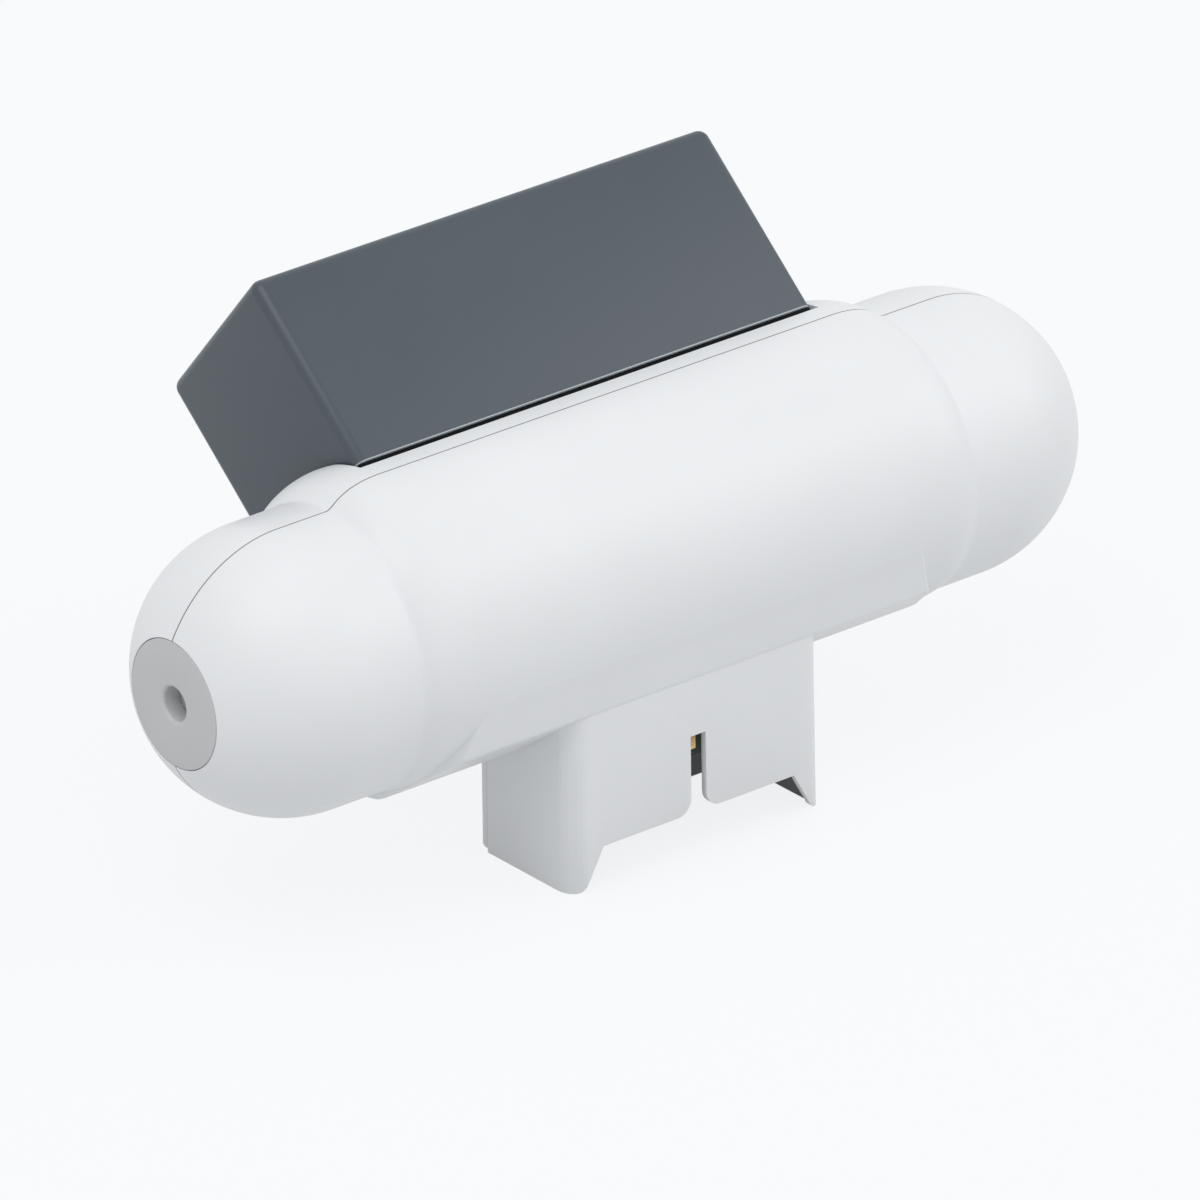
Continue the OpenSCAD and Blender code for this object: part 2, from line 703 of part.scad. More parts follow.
// Screw along Z, its head's underside at the origin
module screw(head_r, head_h, shaft_r, shaft_l) {
    cylinder(r = head_r, h = head_h);
    translate([0, 0, -shaft_l]) cylinder(r = shaft_r - eps, h = shaft_l + head_h / 2);
}

module shell_screws() color("silver") on_axis() for (p = shell_spots)
    translate([p[0], seat_y + eps, p[1]]) rotate([-90, 0, 0])
        screw(screw_head_r, screw_head_h, screw_r, seat_y + screw_bite);

module board_screws() color("silver") on_axis() for (p = board_spots)
    translate([p[0], main_back_y + eps, p[1]]) rotate([-90, 0, 0])
        screw(small_head_r, small_head_h, small_screw_r, small_shaft_l);

module tray_screws() color("silver") on_lean() for (p = tray_spots)
    translate([p[0], p[1], platform_u + tray_floor + eps])
        screw(small_head_r, small_head_h, small_screw_r, small_shaft_l);

front_shell();
rear_shell();
left_end_plug();
right_end_plug();
left_filter();
right_filter();
module_cover();
cover_gasket();
module_tray();
sensor_board();
optical_bench();
infrared_lamp();
detector_can();
bench_clamps();
bench_membrane();
signal_chips();
main_board();
edge_contacts();
microcontroller();
radio_shield();
capacitors();
voltage_regulator();
climate_sensor();
link_ribbon();
link_sockets();
shell_screws();
board_screws();
tray_screws();
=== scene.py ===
"""Looks of a carbon dioxide detector: white shells on a docking foot, a dark box cover and its boards."""

import math

import bmesh
import bpy
from mathutils import Matrix, Vector


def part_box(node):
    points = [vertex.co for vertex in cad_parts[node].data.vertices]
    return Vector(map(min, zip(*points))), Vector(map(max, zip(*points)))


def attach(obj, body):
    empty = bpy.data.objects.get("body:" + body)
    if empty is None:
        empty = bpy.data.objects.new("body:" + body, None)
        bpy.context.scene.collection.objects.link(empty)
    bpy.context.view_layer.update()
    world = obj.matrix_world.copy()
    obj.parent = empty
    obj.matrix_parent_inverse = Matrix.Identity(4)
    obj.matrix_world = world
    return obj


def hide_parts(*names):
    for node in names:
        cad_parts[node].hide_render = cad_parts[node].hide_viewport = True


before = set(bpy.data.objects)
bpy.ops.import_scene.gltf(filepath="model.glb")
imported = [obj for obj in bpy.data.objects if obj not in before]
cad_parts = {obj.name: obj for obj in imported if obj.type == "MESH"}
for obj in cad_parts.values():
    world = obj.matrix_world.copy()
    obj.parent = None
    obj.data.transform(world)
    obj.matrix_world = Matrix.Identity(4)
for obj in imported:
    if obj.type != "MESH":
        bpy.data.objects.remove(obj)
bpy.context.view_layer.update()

# One millimetre, the least distance that counts, and one that is past everything
MM = 0.001
HAIR = 0.01 * MM
FAR = 130 * MM

# Joint between the shells: half its width, and the round of its edges
HALF_GAP = 0.06 * MM
SEAM_LIP = 0.3 * MM

# Capsule, in the frame of its own axis
plug_low, plug_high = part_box("right_end_plug")
AXIS_Z = (plug_low.z + plug_high.z) / 2
END_X = plug_high.x
CAPSULE_R = 30 * MM
WALL = 2 * MM
PLUG_R = 13.7 * MM
PLUG_T = plug_high.x - plug_low.x
PLUG_GAP = 0.15 * MM
PLUG_EDGE = 0.25 * MM
PLUG_LEDGE = 1.6 * MM
PLUG_LEAD_IN = 0.16 * MM
PORT_R = 3.6 * MM
PORT_FLARE = 0.8 * MM
FILTER_ROOM = 1.35 * MM
FILTER_LEDGE = 1.8 * MM
AIR_DEPTH = 14 * MM
END_WALL = 7.2 * MM
DOME_X = END_X - math.sqrt(CAPSULE_R ** 2 - PLUG_R ** 2)

# Thick middle section: an off-centre cylinder inside an envelope with rounded ends
SHOULDER_R = 33.2 * MM
SHOULDER_Y = 1.5 * MM
SHOULDER_Z = 1.9 * MM
SHOULDER_TOP = 34.8 * MM
SHOULDER_X = 57.6 * MM
SHOULDER_END_R = 20 * MM

# Chin: angle below the front and reach from the axis, at its edge and at its rear end
CHIN_EDGE = (math.radians(33.8), 33.2 * MM)
CHIN_END = (math.radians(67.8), 32 * MM)
CHIN_EDGE_X = 60 * MM
CHIN_END_X = 69 * MM

# Foot
FOOT_X = 32.6 * MM
FOOT_DRAFT = 0.2 * MM
DRAFT_RUN = 37 * MM
FOOT_FRONT = 27.3 * MM
FOOT_WALL = 1.5 * MM
FOOT_CORNER_R = 4.8 * MM
RIM_CORNER_R = 1.8 * MM
FOOT_TOP = 43 * MM
FRONT_LIFT = 9.1 * MM
TIP_X = 29.5 * MM
GUSSET_X = 24.5 * MM
TIP_R = 3 * MM
SLOT_HALF = 1.95 * MM
SLOT_TOP = 26.2 * MM
SLOT_MOUTH_R = 3.5 * MM
PLATE_T = 1.6 * MM
PLATE_TOP = 33 * MM
EDGE_ROUND = 0.25 * MM
TONGUE_HALF = 16 * MM
PASSAGE_TOP = 40 * MM

# Module on the leaning platform: X along, V across, U out of the platform
LEAN = math.radians(49.6)
PLATFORM_U = 24.2 * MM
COVER_L = 116.2 * MM
COVER_W = 43.6 * MM
COVER_LOW = 27.1 * MM
COVER_TOP = 70.9 * MM
COVER_WALL = 1.8 * MM
COVER_LIP = 0.3 * MM
COVER_CORNER_R = 2.4 * MM
COVER_INNER_R = 0.9 * MM
GASKET_INSET = 0.6 * MM
GASKET_CLEAR = 0.15 * MM
KERB_U = 26.2 * MM
KERB_BACK = 22.2 * MM
KERB_RUN = 0.4 * MM
KERB_END_SLOPE = 0.5
POCKET_GAP = 0.5 * MM
POCKET_X = COVER_L / 2 + POCKET_GAP
POCKET_RUN = 0.2 * MM
LOBE_RISE = 6.8 * MM
LOBE_FLARE = 5 * MM
BENCH_AXIS = 11 * MM
RIBBON_HALF_L = 8 * MM
RIBBON_HALF_W = 6 * MM
RIBBON_V = -3 * MM
RIBBON_DEPTH = 12 * MM

# Screws
SCREW_R = 1.25 * MM
COUNTERBORE_R = 3 * MM
SEAT_Y = 6 * MM
SCREW_BITE = 6 * MM
BOSS_R = 3.6 * MM
SCREW_CLEAR = 0.35 * MM
PAST_SKIN = 60 * MM

MAIN_BODY = "housing"
COVER_BODY = "cover"

# Looks: where most of a noise lies, the angle of a sharp edge, the dimmest seam and the board tracks
NOISE_SPAN = (0.3, 0.7)
SMOOTH_ANGLE = 32
SEAM_SHADE = 0.3
TRACK_PATCH = (5.4 * MM, 4.2 * MM, 1)
TRACK_SCALE = 290
TRACK_CREST = 0.86


# Materials

def new_material(name, colour, roughness, metallic=0.0, **sockets):
    """A Principled material whose plain values sit on the shader's own sockets."""
    material = bpy.data.materials.new(name)
    material.use_nodes = True
    shader = shader_of(material)
    shader.inputs["Base Color"].default_value = (*colour, 1)
    shader.inputs["Roughness"].default_value = roughness
    shader.inputs["Metallic"].default_value = metallic
    for socket, value in sockets.items():
        shader.inputs[socket.replace("_", " ")].default_value = value
    return material


def add_node(owner, kind, **values):
    """A shader node with its properties set, and its input sockets where no property has that name."""
    node = owner.node_tree.nodes.new(kind)
    for key, value in values.items():
        if hasattr(node, key):
            setattr(node, key, value)
        else:
            node.inputs[key.replace("_", " ")].default_value = value
    return node


def link(owner, source, output, target, socket):
    owner.node_tree.links.new(source.outputs[output], target.inputs[socket])


def math_node(owner, operation, *inputs):
    """A Math node whose inputs are plain values, or (node, output) pairs to link."""
    node = add_node(owner, "ShaderNodeMath", operation=operation)
    for socket, given in enumerate(inputs):
        if isinstance(given, tuple):
            link(owner, *given, node, socket)
        else:
            node.inputs[socket].default_value = given
    return node


def shader_of(material):
    return material.node_tree.nodes["Principled BSDF"]


def object_noise(material, scale, detail=3.0, stretch=(1, 1, 1)):
    """Noise on Object coordinates, with a scale in features per metre."""
    place = add_node(material, "ShaderNodeTexCoord")
    mapping = add_node(material, "ShaderNodeMapping", Scale=stretch)
    noise = add_node(material, "ShaderNodeTexNoise", Scale=scale, Detail=detail)
    link(material, place, "Object", mapping, "Vector")
    link(material, mapping, "Vector", noise, "Vector")
    return noise


def vary_colour(material, noise, dark, light):
    """Base colour that drifts between two shades with a noise."""
    ramp = add_node(material, "ShaderNodeValToRGB")
    for element, place, colour in zip(ramp.color_ramp.elements, NOISE_SPAN, (dark, light)):
        element.position = place
        element.color = (*colour, 1)
    link(material, noise, "Fac", ramp, "Fac")
    link(material, ramp, "Color", shader_of(material), "Base Color")


def vary_roughness(material, noise, low, high):
    spread = add_node(material, "ShaderNodeMapRange", From_Min=NOISE_SPAN[0], From_Max=NOISE_SPAN[1],
                      To_Min=low, To_Max=high)
    link(material, noise, "Fac", spread, "Value")
    link(material, spread, "Result", shader_of(material), "Roughness")


def add_bump(material, noise, depth, output="Fac"):
    """Surface relief of a real depth, in metres."""
    bump = add_node(material, "ShaderNodeBump", Strength=1.0, Distance=depth)
    link(material, noise, output, bump, "Height")
    link(material, bump, "Normal", shader_of(material), "Normal")


def shade(colour, factor):
    return tuple(min(1.0, c * factor) for c in colour)


def moulded_plastic(name, colour, roughness, grain=2400, depth=0.012 * MM, drift=0.02, **sockets):
    """Moulded plastic: a faint drift of colour, uneven satin, and the fine grain of the mould."""
    material = new_material(name, colour, roughness, **sockets)
    broad = object_noise(material, 45)
    vary_colour(material, broad, shade(colour, 1 - drift), shade(colour, 1 + drift))
    vary_roughness(material, broad, roughness - 0.03, roughness + 0.05)
    add_bump(material, object_noise(material, grain, 4.0), depth)
    return material


def plated_metal(name, colour, roughness, scratch=(1, 1, 14)):
    """Sheet or turned metal with fine drawn lines."""
    material = new_material(name, colour, roughness, metallic=1.0)
    lines = object_noise(material, 900, 4.0, scratch)
    vary_roughness(material, lines, roughness - 0.06, roughness + 0.12)
    add_bump(material, lines, 0.01 * MM)
    return material


def tint(material, share, colour):
    """Turns the base colour into another one by a share from 0 to 1, which a node gives."""
    base = shader_of(material).inputs["Base Color"]
    mix = add_node(material, "ShaderNodeMixRGB", Color2=(*colour, 1))
    if base.is_linked:
        material.node_tree.links.new(base.links[0].from_socket, mix.inputs["Color1"])
    else:
        mix.inputs["Color1"].default_value = base.default_value
    link(material, share, 0, mix, "Fac")
    link(material, mix, "Color", shader_of(material), "Base Color")


def board_laminate(name, mask, trace, turn):
    """Solder mask over copper: square patches of fine parallel tracks, in the plane of the board."""
    material = new_material(name, mask, 0.45, Coat_Weight=0.12, Coat_Roughness=0.3)
    place = add_node(material, "ShaderNodeTexCoord")
    flat = add_node(material, "ShaderNodeMapping", Rotation=(turn, 0, 0))
    link(material, place, "Object", flat, "Vector")
    patch = add_node(material, "ShaderNodeVectorMath", operation="SNAP")
    link(material, flat, "Vector", patch, 0)
    patch.inputs[1].default_value = TRACK_PATCH
    chance = add_node(material, "ShaderNodeTexWhiteNoise")
    link(material, patch, 0, chance, "Vector")
    lit = []
    for direction, low, high in (("X", 0.0, 0.3), ("Y", 0.3, 0.75)):
        lines = add_node(material, "ShaderNodeTexWave", bands_direction=direction, Scale=TRACK_SCALE)
        link(material, flat, "Vector", lines, "Vector")
        crest = math_node(material, "GREATER_THAN", (lines, "Fac"), TRACK_CREST)
        inside = math_node(material, "COMPARE", (chance, "Value"), (low + high) / 2, (high - low) / 2)
        lit.append(math_node(material, "MULTIPLY", (crest, 0), (inside, 0)))
    tracks = math_node(material, "MAXIMUM", (lit[0], 0), (lit[1], 0))
    tint(material, tracks, trace)
    add_bump(material, tracks, 0.03 * MM, output=0)
    return material


def felt(name, colour):
    """Pressed fibre, rough all over with short crossing threads."""
    material = new_material(name, colour, 0.95, Sheen_Weight=0.3)
    fibre = object_noise(material, 2600, 6.0)
    vary_colour(material, fibre, shade(colour, 0.8), shade(colour, 1.08))
    add_bump(material, fibre, 0.12 * MM)
    return material


def shade_seam(material, inner, outer, low_z):
    """Darkens the mating faces between the shells, which get no light, above the foot."""
    shader = shader_of(material)
    colour = shader.inputs["Base Color"].links[0].from_node
    place = add_node(material, "ShaderNodeTexCoord")
    axes = add_node(material, "ShaderNodeSeparateXYZ")
    link(material, place, "Object", axes, "Vector")
    across = add_node(material, "ShaderNodeMapRange", From_Min=inner, From_Max=outer,
                      To_Min=SEAM_SHADE, To_Max=1)
    link(material, math_node(material, "ABSOLUTE", (axes, "Y")), 0, across, "Value")
    below = math_node(material, "LESS_THAN", (axes, "Z"), low_z)
    share = math_node(material, "MAXIMUM", (across, "Result"), (below, 0))
    shaded = add_node(material, "ShaderNodeVectorMath", operation="SCALE")
    link(material, colour, "Color", shaded, 0)
    link(material, share, 0, shaded, "Scale")
    link(material, shaded, 0, shader, "Base Color")


def paint_lip_highlight(material, height, colour):
    """Paints a highlight on the lip of the cover, as a lighter colour below a height of the leaning frame."""
    place = add_node(material, "ShaderNodeTexCoord")
    rise = add_node(material, "ShaderNodeVectorMath", operation="DOT_PRODUCT")
    rise.inputs[1].default_value = (0, math.sin(LEAN), math.cos(LEAN))
    link(material, place, "Object", rise, 0)
    below = math_node(material, "LESS_THAN", (rise, "Value"), height + AXIS_Z * math.cos(LEAN))
    tint(material, below, colour)


SHELL_WHITE = moulded_plastic("shell_white", (0.812, 0.822, 0.831), 0.42, drift=0.012)
shade_seam(SHELL_WHITE, HALF_GAP + HAIR, HALF_GAP + SEAM_LIP / 2 + HAIR, AXIS_Z - CAPSULE_R)
# Painted shade: a dark material that stands in for the shade inside the foot.
FOOT_PAINTED_SHADE = moulded_plastic("foot_painted_shade", (0.21, 0.215, 0.22), 0.6, drift=0.03)
PLUG_GREY = moulded_plastic("plug_grey", (0.56, 0.565, 0.575), 0.5)
COVER_GREY = moulded_plastic("cover_grey", (0.057, 0.074, 0.09), 0.38, 1900, 0.02 * MM, 0.035)
# Painted highlight: a lighter band along the cover's lower edge.
paint_lip_highlight(COVER_GREY, COVER_LOW + COVER_LIP * 0.9, (0.5, 0.54, 0.57))
GASKET_BLACK = moulded_plastic("gasket_rubber", (0.005, 0.006, 0.007), 0.85, 1500, 0.06 * MM, 0.1,
                               Specular_IOR_Level=0.15)
TRAY_GREY = moulded_plastic("tray_plastic", (0.60, 0.61, 0.62), 0.45, 2200, 0.015 * MM)
CLAMP_BLACK = moulded_plastic("clamp_plastic", (0.10, 0.11, 0.12), 0.45, 2200, 0.015 * MM)
CHIP_BLACK = moulded_plastic("chip_black", (0.022, 0.022, 0.024), 0.55, 3000, 0.02 * MM, 0.1)
SOCKET_IVORY = moulded_plastic("socket_ivory", (0.72, 0.68, 0.56), 0.4, 2200, 0.01 * MM)
SLEEVE_BLUE = moulded_plastic("capacitor_blue", (0.03, 0.05, 0.14), 0.3, 1200, 0.01 * MM, 0.05)
RIBBON_AMBER = moulded_plastic("ribbon_film", (0.42, 0.27, 0.07), 0.25, 1200, 0.01 * MM, 0.06)
SENSOR_GREEN = board_laminate("sensor_board_green", (0.01, 0.05, 0.03), (0.035, 0.11, 0.06), LEAN)
MAIN_GREEN = board_laminate("main_board_green", (0.006, 0.03, 0.018), (0.02, 0.07, 0.04), math.pi / 2)
FELT_GREY = felt("filter_felt", (0.42, 0.41, 0.39))
STEEL = plated_metal("steel", (0.60, 0.61, 0.62), 0.3)
BENCH_GOLD = plated_metal("bench_gold", (0.80, 0.60, 0.30), 0.28, (14, 1, 1))
CONTACT_GOLD = plated_metal("contact_gold", (0.83, 0.58, 0.25), 0.3, (1, 1, 6))
CAP_METAL = plated_metal("climate_metal", (0.62, 0.62, 0.63), 0.4)
TINNED = plated_metal("tinned_metal", (0.68, 0.67, 0.64), 0.36)
CERAMIC_TAN = moulded_plastic("ceramic_tan", (0.36, 0.26, 0.17), 0.5, 3000, 0.01 * MM, 0.08)


# Mesh tools

def as_mesh(bm, name):
    """Turns a solid into a mesh of the file."""
    mesh = bpy.data.meshes.new(name)
    bm.to_mesh(mesh)
    bm.free()
    return mesh


def linked(name, data):
    """A new object in the scene."""
    made = bpy.data.objects.new(name, data)
    bpy.context.scene.collection.objects.link(made)
    return made


def bevel(bm, edges, width, segments, clamp=False):
    """Rounds some edges."""
    bmesh.ops.bevel(bm, geom=edges, offset=width, affect="EDGES", segments=segments, profile=0.5,
                    material=-1, clamp_overlap=clamp)
    return bm


def frame_point(x, v, u):
    """A point of the module's leaning frame, in the object's own frame."""
    y = v * math.cos(LEAN) + u * math.sin(LEAN)
    z = u * math.cos(LEAN) - v * math.sin(LEAN)
    return Vector((x, y, AXIS_Z + z))


def lean_matrix(x=0.0, v=0.0, u=0.0):
    """Places a shape made upright at the origin onto the module's leaning frame."""
    return Matrix.Translation(frame_point(x, v, u)) @ Matrix.Rotation(-LEAN, 4, "X")


def block(low, high):
    """A box between two corners."""
    bm = bmesh.new()
    size = Vector(high) - Vector(low)
    place = Matrix.Translation((Vector(low) + Vector(high)) / 2)
    bmesh.ops.create_cube(bm, size=1, matrix=place @ Matrix.Diagonal((*size, 1)))
    return bm


def rod(start, end, radius, end_radius=None, segments=64):
    """A closed cylinder or cone between two points."""
    start, end = Vector(start), Vector(end)
    turn = (end - start).to_track_quat("Z", "Y").to_matrix().to_4x4()
    place = Matrix.Translation((start + end) / 2) @ turn
    bm = bmesh.new()
    top = radius if end_radius is None else end_radius
    bmesh.ops.create_cone(bm, cap_ends=True, segments=segments, radius1=radius, radius2=top,
                          depth=(end - start).length, matrix=place)
    return bm


def prism(outline, low_y, high_y):
    """A closed solid over an outline of (x, z) points, between two planes along Y."""
    bm = bmesh.new()
    face = bm.faces.new([bm.verts.new((x, low_y, z)) for x, z in outline])
    made = bmesh.ops.extrude_face_region(bm, geom=[face])["geom"]
    moved = [g for g in made if isinstance(g, bmesh.types.BMVert)]
    bmesh.ops.translate(bm, verts=moved, vec=(0, high_y - low_y, 0))
    bmesh.ops.recalc_face_normals(bm, faces=bm.faces)
    return bm


def turned(points, closed=False, segments=96):
    """A closed solid turned about X, from (along, radius) points: a loop, or a line from X back to X."""
    bm = bmesh.new()
    verts = [bm.verts.new((along, radius, 0)) for along, radius in points]
    pairs = zip(verts, verts[1:] + verts[:1] if closed else verts[1:])
    edges = [bm.edges.new(pair) for pair in pairs]
    bmesh.ops.spin(bm, geom=verts + edges, cent=(0, 0, 0), axis=(1, 0, 0), angle=math.tau,
                   steps=segments, use_merge=True)
    bmesh.ops.remove_doubles(bm, verts=bm.verts, dist=0.001 * MM)
    bmesh.ops.recalc_face_normals(bm, faces=bm.faces)
    return bm


def turned_upright(points, segments):
    """A closed solid turned about Z, from (height, radius) points."""
    bm = turned(points, segments=segments)
    bm.transform(Matrix.Rotation(-math.pi / 2, 4, "Y"))
    return bm


def arc(centre, radius, start, end, steps):
    """Points of an arc in a plane, from one angle to another, in degrees."""
    turn = [math.radians(start + (end - start) * i / steps) for i in range(steps + 1)]
    return [(centre[0] + radius * math.cos(t), centre[1] + radius * math.sin(t)) for t in turn]


def soften(bm, width, segments=2, angle=30, keep=None):
    """Rounds the edges that turn by more than an angle. keep picks them by their middle point."""
    sharp = [e for e in bm.edges if len(e.link_faces) == 2 and e.calc_face_angle(0) > math.radians(angle)]
    if keep:
        sharp = [e for e in sharp if keep((e.verts[0].co + e.verts[1].co) / 2)]
    return bevel(bm, sharp, width, segments, clamp=True)


def tidy_flats(bm):
    """Joins the faces of one plane, so that a bevel has clean edges to work on."""
    bmesh.ops.dissolve_limit(bm, angle_limit=math.radians(0.5), verts=bm.verts, edges=bm.edges)
    return bm


def joined(*parts):
    """Several solids as one mesh, side by side."""
    bm = bmesh.new()
    for part in parts:
        mesh = as_mesh(part, "part")
        bm.from_mesh(mesh)
        bpy.data.meshes.remove(mesh)
    return bm


def combined(bm, others, operation):
    """One solid after it is cut by, or joined with, each of the others."""
    holders = [linked("combined", as_mesh(solid, "combined")) for solid in (bm, *others)]
    for tool in holders[1:]:
        step = holders[0].modifiers.new("combine", "BOOLEAN")
        step.operation = operation
        step.solver = "MANIFOLD"
        step.object = tool
    result = bmesh.new()
    result.from_object(holders[0], bpy.context.evaluated_depsgraph_get())
    for holder in holders:
        mesh = holder.data
        bpy.data.objects.remove(holder)
        bpy.data.meshes.remove(mesh)
    return result


def cut(bm, *others):
    return combined(bm, others, "DIFFERENCE")


def merged(bm, *others):
    return combined(bm, others, "UNION")


def finish_piece(name, bm, material, nodes=(), body=MAIN_BODY):
    """Makes the object, shades it smooth between its sharp edges, and ties it to the frame."""
    piece = linked(name, as_mesh(bm, name))
    piece.data.materials.append(material)
    piece.data.shade_smooth()
    piece.data.set_sharp_from_angle(angle=math.radians(SMOOTH_ANGLE))
    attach(piece, body)
    if nodes:
        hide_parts(*nodes)
    return piece


def node_copy(node):
    """The CAD node's mesh with its loose triangles joined, as a new mesh to work on."""
    bm = bmesh.new()
    bm.from_mesh(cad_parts[node].data)
    bmesh.ops.remove_doubles(bm, verts=bm.verts, dist=0.002 * MM)
    return bm


def solid_boxes(node, into=Matrix.Identity(4)):
    """Low and high corners of each separate solid of a CAD node, seen in another frame."""
    bm = node_copy(node)
    bm.transform(into)
    left = set(bm.verts)
    boxes = []
    while left:
        island = [left.pop()]
        for vert in island:
            for edge in vert.link_edges:
                other = edge.other_vert(vert)
                if other in left:
                    left.remove(other)
                    island.append(other)
        low = Vector([min(v.co[i] for v in island) for i in range(3)])
        high = Vector([max(v.co[i] for v in island) for i in range(3)])
        boxes.append((low, high))
    bm.free()
    return sorted(boxes, key=lambda box: tuple(box[0]))


def places_of(boxes, turn, drop=None):
    """Places in the middle of boxes that are seen in a frame, on their feet or a drop below their tops."""
    places = []
    for low, high in boxes:
        up = low.z if drop is None else high.z - drop
        places.append(turn @ Matrix.Translation(((low.x + high.x) / 2, (low.y + high.y) / 2, up)))
    return places


def copies(shape, places):
    """One mesh with a copy of a shape at each place."""
    mesh = as_mesh(shape, "copy")
    bm = bmesh.new()
    for place in places:
        known = len(bm.verts)
        bm.from_mesh(mesh)
        bm.verts.ensure_lookup_table()
        bmesh.ops.transform(bm, matrix=place, verts=bm.verts[known:])
    bpy.data.meshes.remove(mesh)
    return bm


# The white skin: how far it reaches from the capsule's axis

def smooth_min(a, b, blend):
    """The smaller of two reaches, with their crossing rounded over a blend."""
    overlap = max(blend - abs(a - b), 0) / blend
    return min(a, b) - overlap * overlap * blend / 4


def smooth_max(a, b, blend):
    return -smooth_min(-a, -b, blend)


def capsule_reach(x, inset):
    past = max(abs(x) - DOME_X, 0)
    return math.sqrt(max((CAPSULE_R - inset) ** 2 - past * past, (0.1 * MM) ** 2))


def cylinder_reach(y, z, inset):
    """Reach of the off-centre middle cylinder in the direction (y, z)."""
    across = SHOULDER_Y * z - SHOULDER_Z * y
    return SHOULDER_Y * y + SHOULDER_Z * z + math.sqrt((SHOULDER_R - inset) ** 2 - across * across)


def envelope_reach(x, inset):
    """Reach of the turned envelope that rounds the ends of the middle section."""
    past = abs(x) - SHOULDER_X
    if past <= 0:
        return SHOULDER_TOP - inset
    radius = SHOULDER_END_R - inset
    core = SHOULDER_TOP - SHOULDER_END_R
    return core + math.sqrt(radius ** 2 - past ** 2) if past < radius else 0.0


def plane_through(a, b):
    """Outward normal and distance of the side plane through two points of the section, the axis inside."""
    along = (b - a).normalized()
    normal = Vector((along.y, -along.x))
    distance = normal.dot(a)
    return (normal, distance) if distance > 0 else (-normal, -distance)


def section_point(place):
    """A point of the section below the front, from its angle and its reach."""
    return -place[1] * Vector((math.cos(place[0]), math.sin(place[0])))


def chin_section():
    """Where the chin leaves the middle section, and its front face, underside and short rear flat."""
    edge = section_point(CHIN_EDGE)
    end = section_point(CHIN_END)
    centre = Vector((SHOULDER_Y, SHOULDER_Z))
    touch_r = SHOULDER_R - 0.05 * MM
    gone = edge - centre
    turn = math.atan2(gone.y, gone.x) - math.acos(touch_r / gone.length)
    touch = centre + touch_r * Vector((math.cos(turn), math.sin(turn)))
    flat = end + Vector((8 * MM, 0))
    return touch, [plane_through(touch, edge), plane_through(edge, end), plane_through(end, flat)]


CHIN_TOUCH, CHIN_PLANES = chin_section()
CHIN_ROUND = 0.5 * MM
CHIN_FACING = 0.05
CHIN_END_SLOPE = 3
CHIN_END_RUN = 0.9 * MM


def chin_reach(y, z):
    """Reach of the chin, which only adds to the lower front."""
    if y > 0 or CHIN_TOUCH.x * z - CHIN_TOUCH.y * y < 0:
        return 0.0
    reach = FAR
    for normal, distance in CHIN_PLANES:
        facing = normal.x * y + normal.y * z
        if facing > CHIN_FACING:
            reach = smooth_min(reach, distance / facing, CHIN_ROUND)
    return reach if reach < FAR / 2 else 0.0


def chin_end_x(y, z):
    """Half length of the chin in the direction (y, z), which grows to the rear."""
    edge = section_point(CHIN_EDGE)
    across = section_point(CHIN_END) - edge
    gone = Vector((y, z)) * chin_reach(y, z) - edge
    share = gone.dot(across) / across.length_squared
    return CHIN_EDGE_X + (CHIN_END_X - CHIN_EDGE_X) * share


def ended_chin_reach(x, y, z):
    """Reach of the chin at x, with its steep slanted end."""
    reach = chin_reach(y, z)
    if not reach:
        return 0.0
    past = abs(x) - chin_end_x(y, z)
    return smooth_min(reach, reach - CHIN_END_SLOPE * past, CHIN_ROUND)


def pocket_rise(x, ahead):
    """Height that the platform, the kerb ahead of it and the lobes beside it allow, or None past them."""
    past = abs(x) - POCKET_X
    if past > LOBE_FLARE:
        return None
    side = min(max((past + POCKET_RUN / 2) / POCKET_RUN, 0), 1)
    kerb = min(max((ahead - KERB_BACK) / KERB_RUN, 0), 1)
    lobe = PLATFORM_U + LOBE_RISE * side + max(past, 0)
    return lobe * (1 - kerb) + (KERB_U + KERB_END_SLOPE * max(past, 0)) * kerb


# Blends between the forms of the skin, and how squarely the skin faces the platform to be cut by it
JUNCTION_ROUND = 0.6 * MM
END_ROUND = 3.2 * MM
CHIN_BLEND = 0.25 * MM
POCKET_ROUND = 0.5 * MM
PLATFORM_FACING = 0.3


def skin_reach(x, angle, inset=0.0):
    """Reach of the white skin at x, in a direction measured from +Y towards +Z."""
    y, z = math.cos(angle), math.sin(angle)
    middle = smooth_min(cylinder_reach(y, z, inset), envelope_reach(x, inset), END_ROUND)
    if not inset:
        middle = smooth_max(middle, ended_chin_reach(x, y, z), CHIN_BLEND)
    reach = smooth_max(capsule_reach(x, inset), middle, JUNCTION_ROUND)
    facing = y * math.sin(LEAN) + z * math.cos(LEAN)
    if facing > PLATFORM_FACING:
        ahead = (z * math.sin(LEAN) - y * math.cos(LEAN)) / facing * KERB_U
        rise = pocket_rise(x, ahead)
        if rise is not None:
            reach = smooth_min(reach, (rise - inset) / facing, POCKET_ROUND)
    return reach


# Where the grid's lines turn down at the chin's end, its limits, what it moves, and degrees behind it
KNEE = 64 * MM
KNEE_MIN = 57 * MM
KNEE_MAX = 70 * MM
KNEE_LOW = 54 * MM
KNEE_HIGH = 72 * MM
KNEE_BACK = 265
KNEE_BACK_RUN = 60


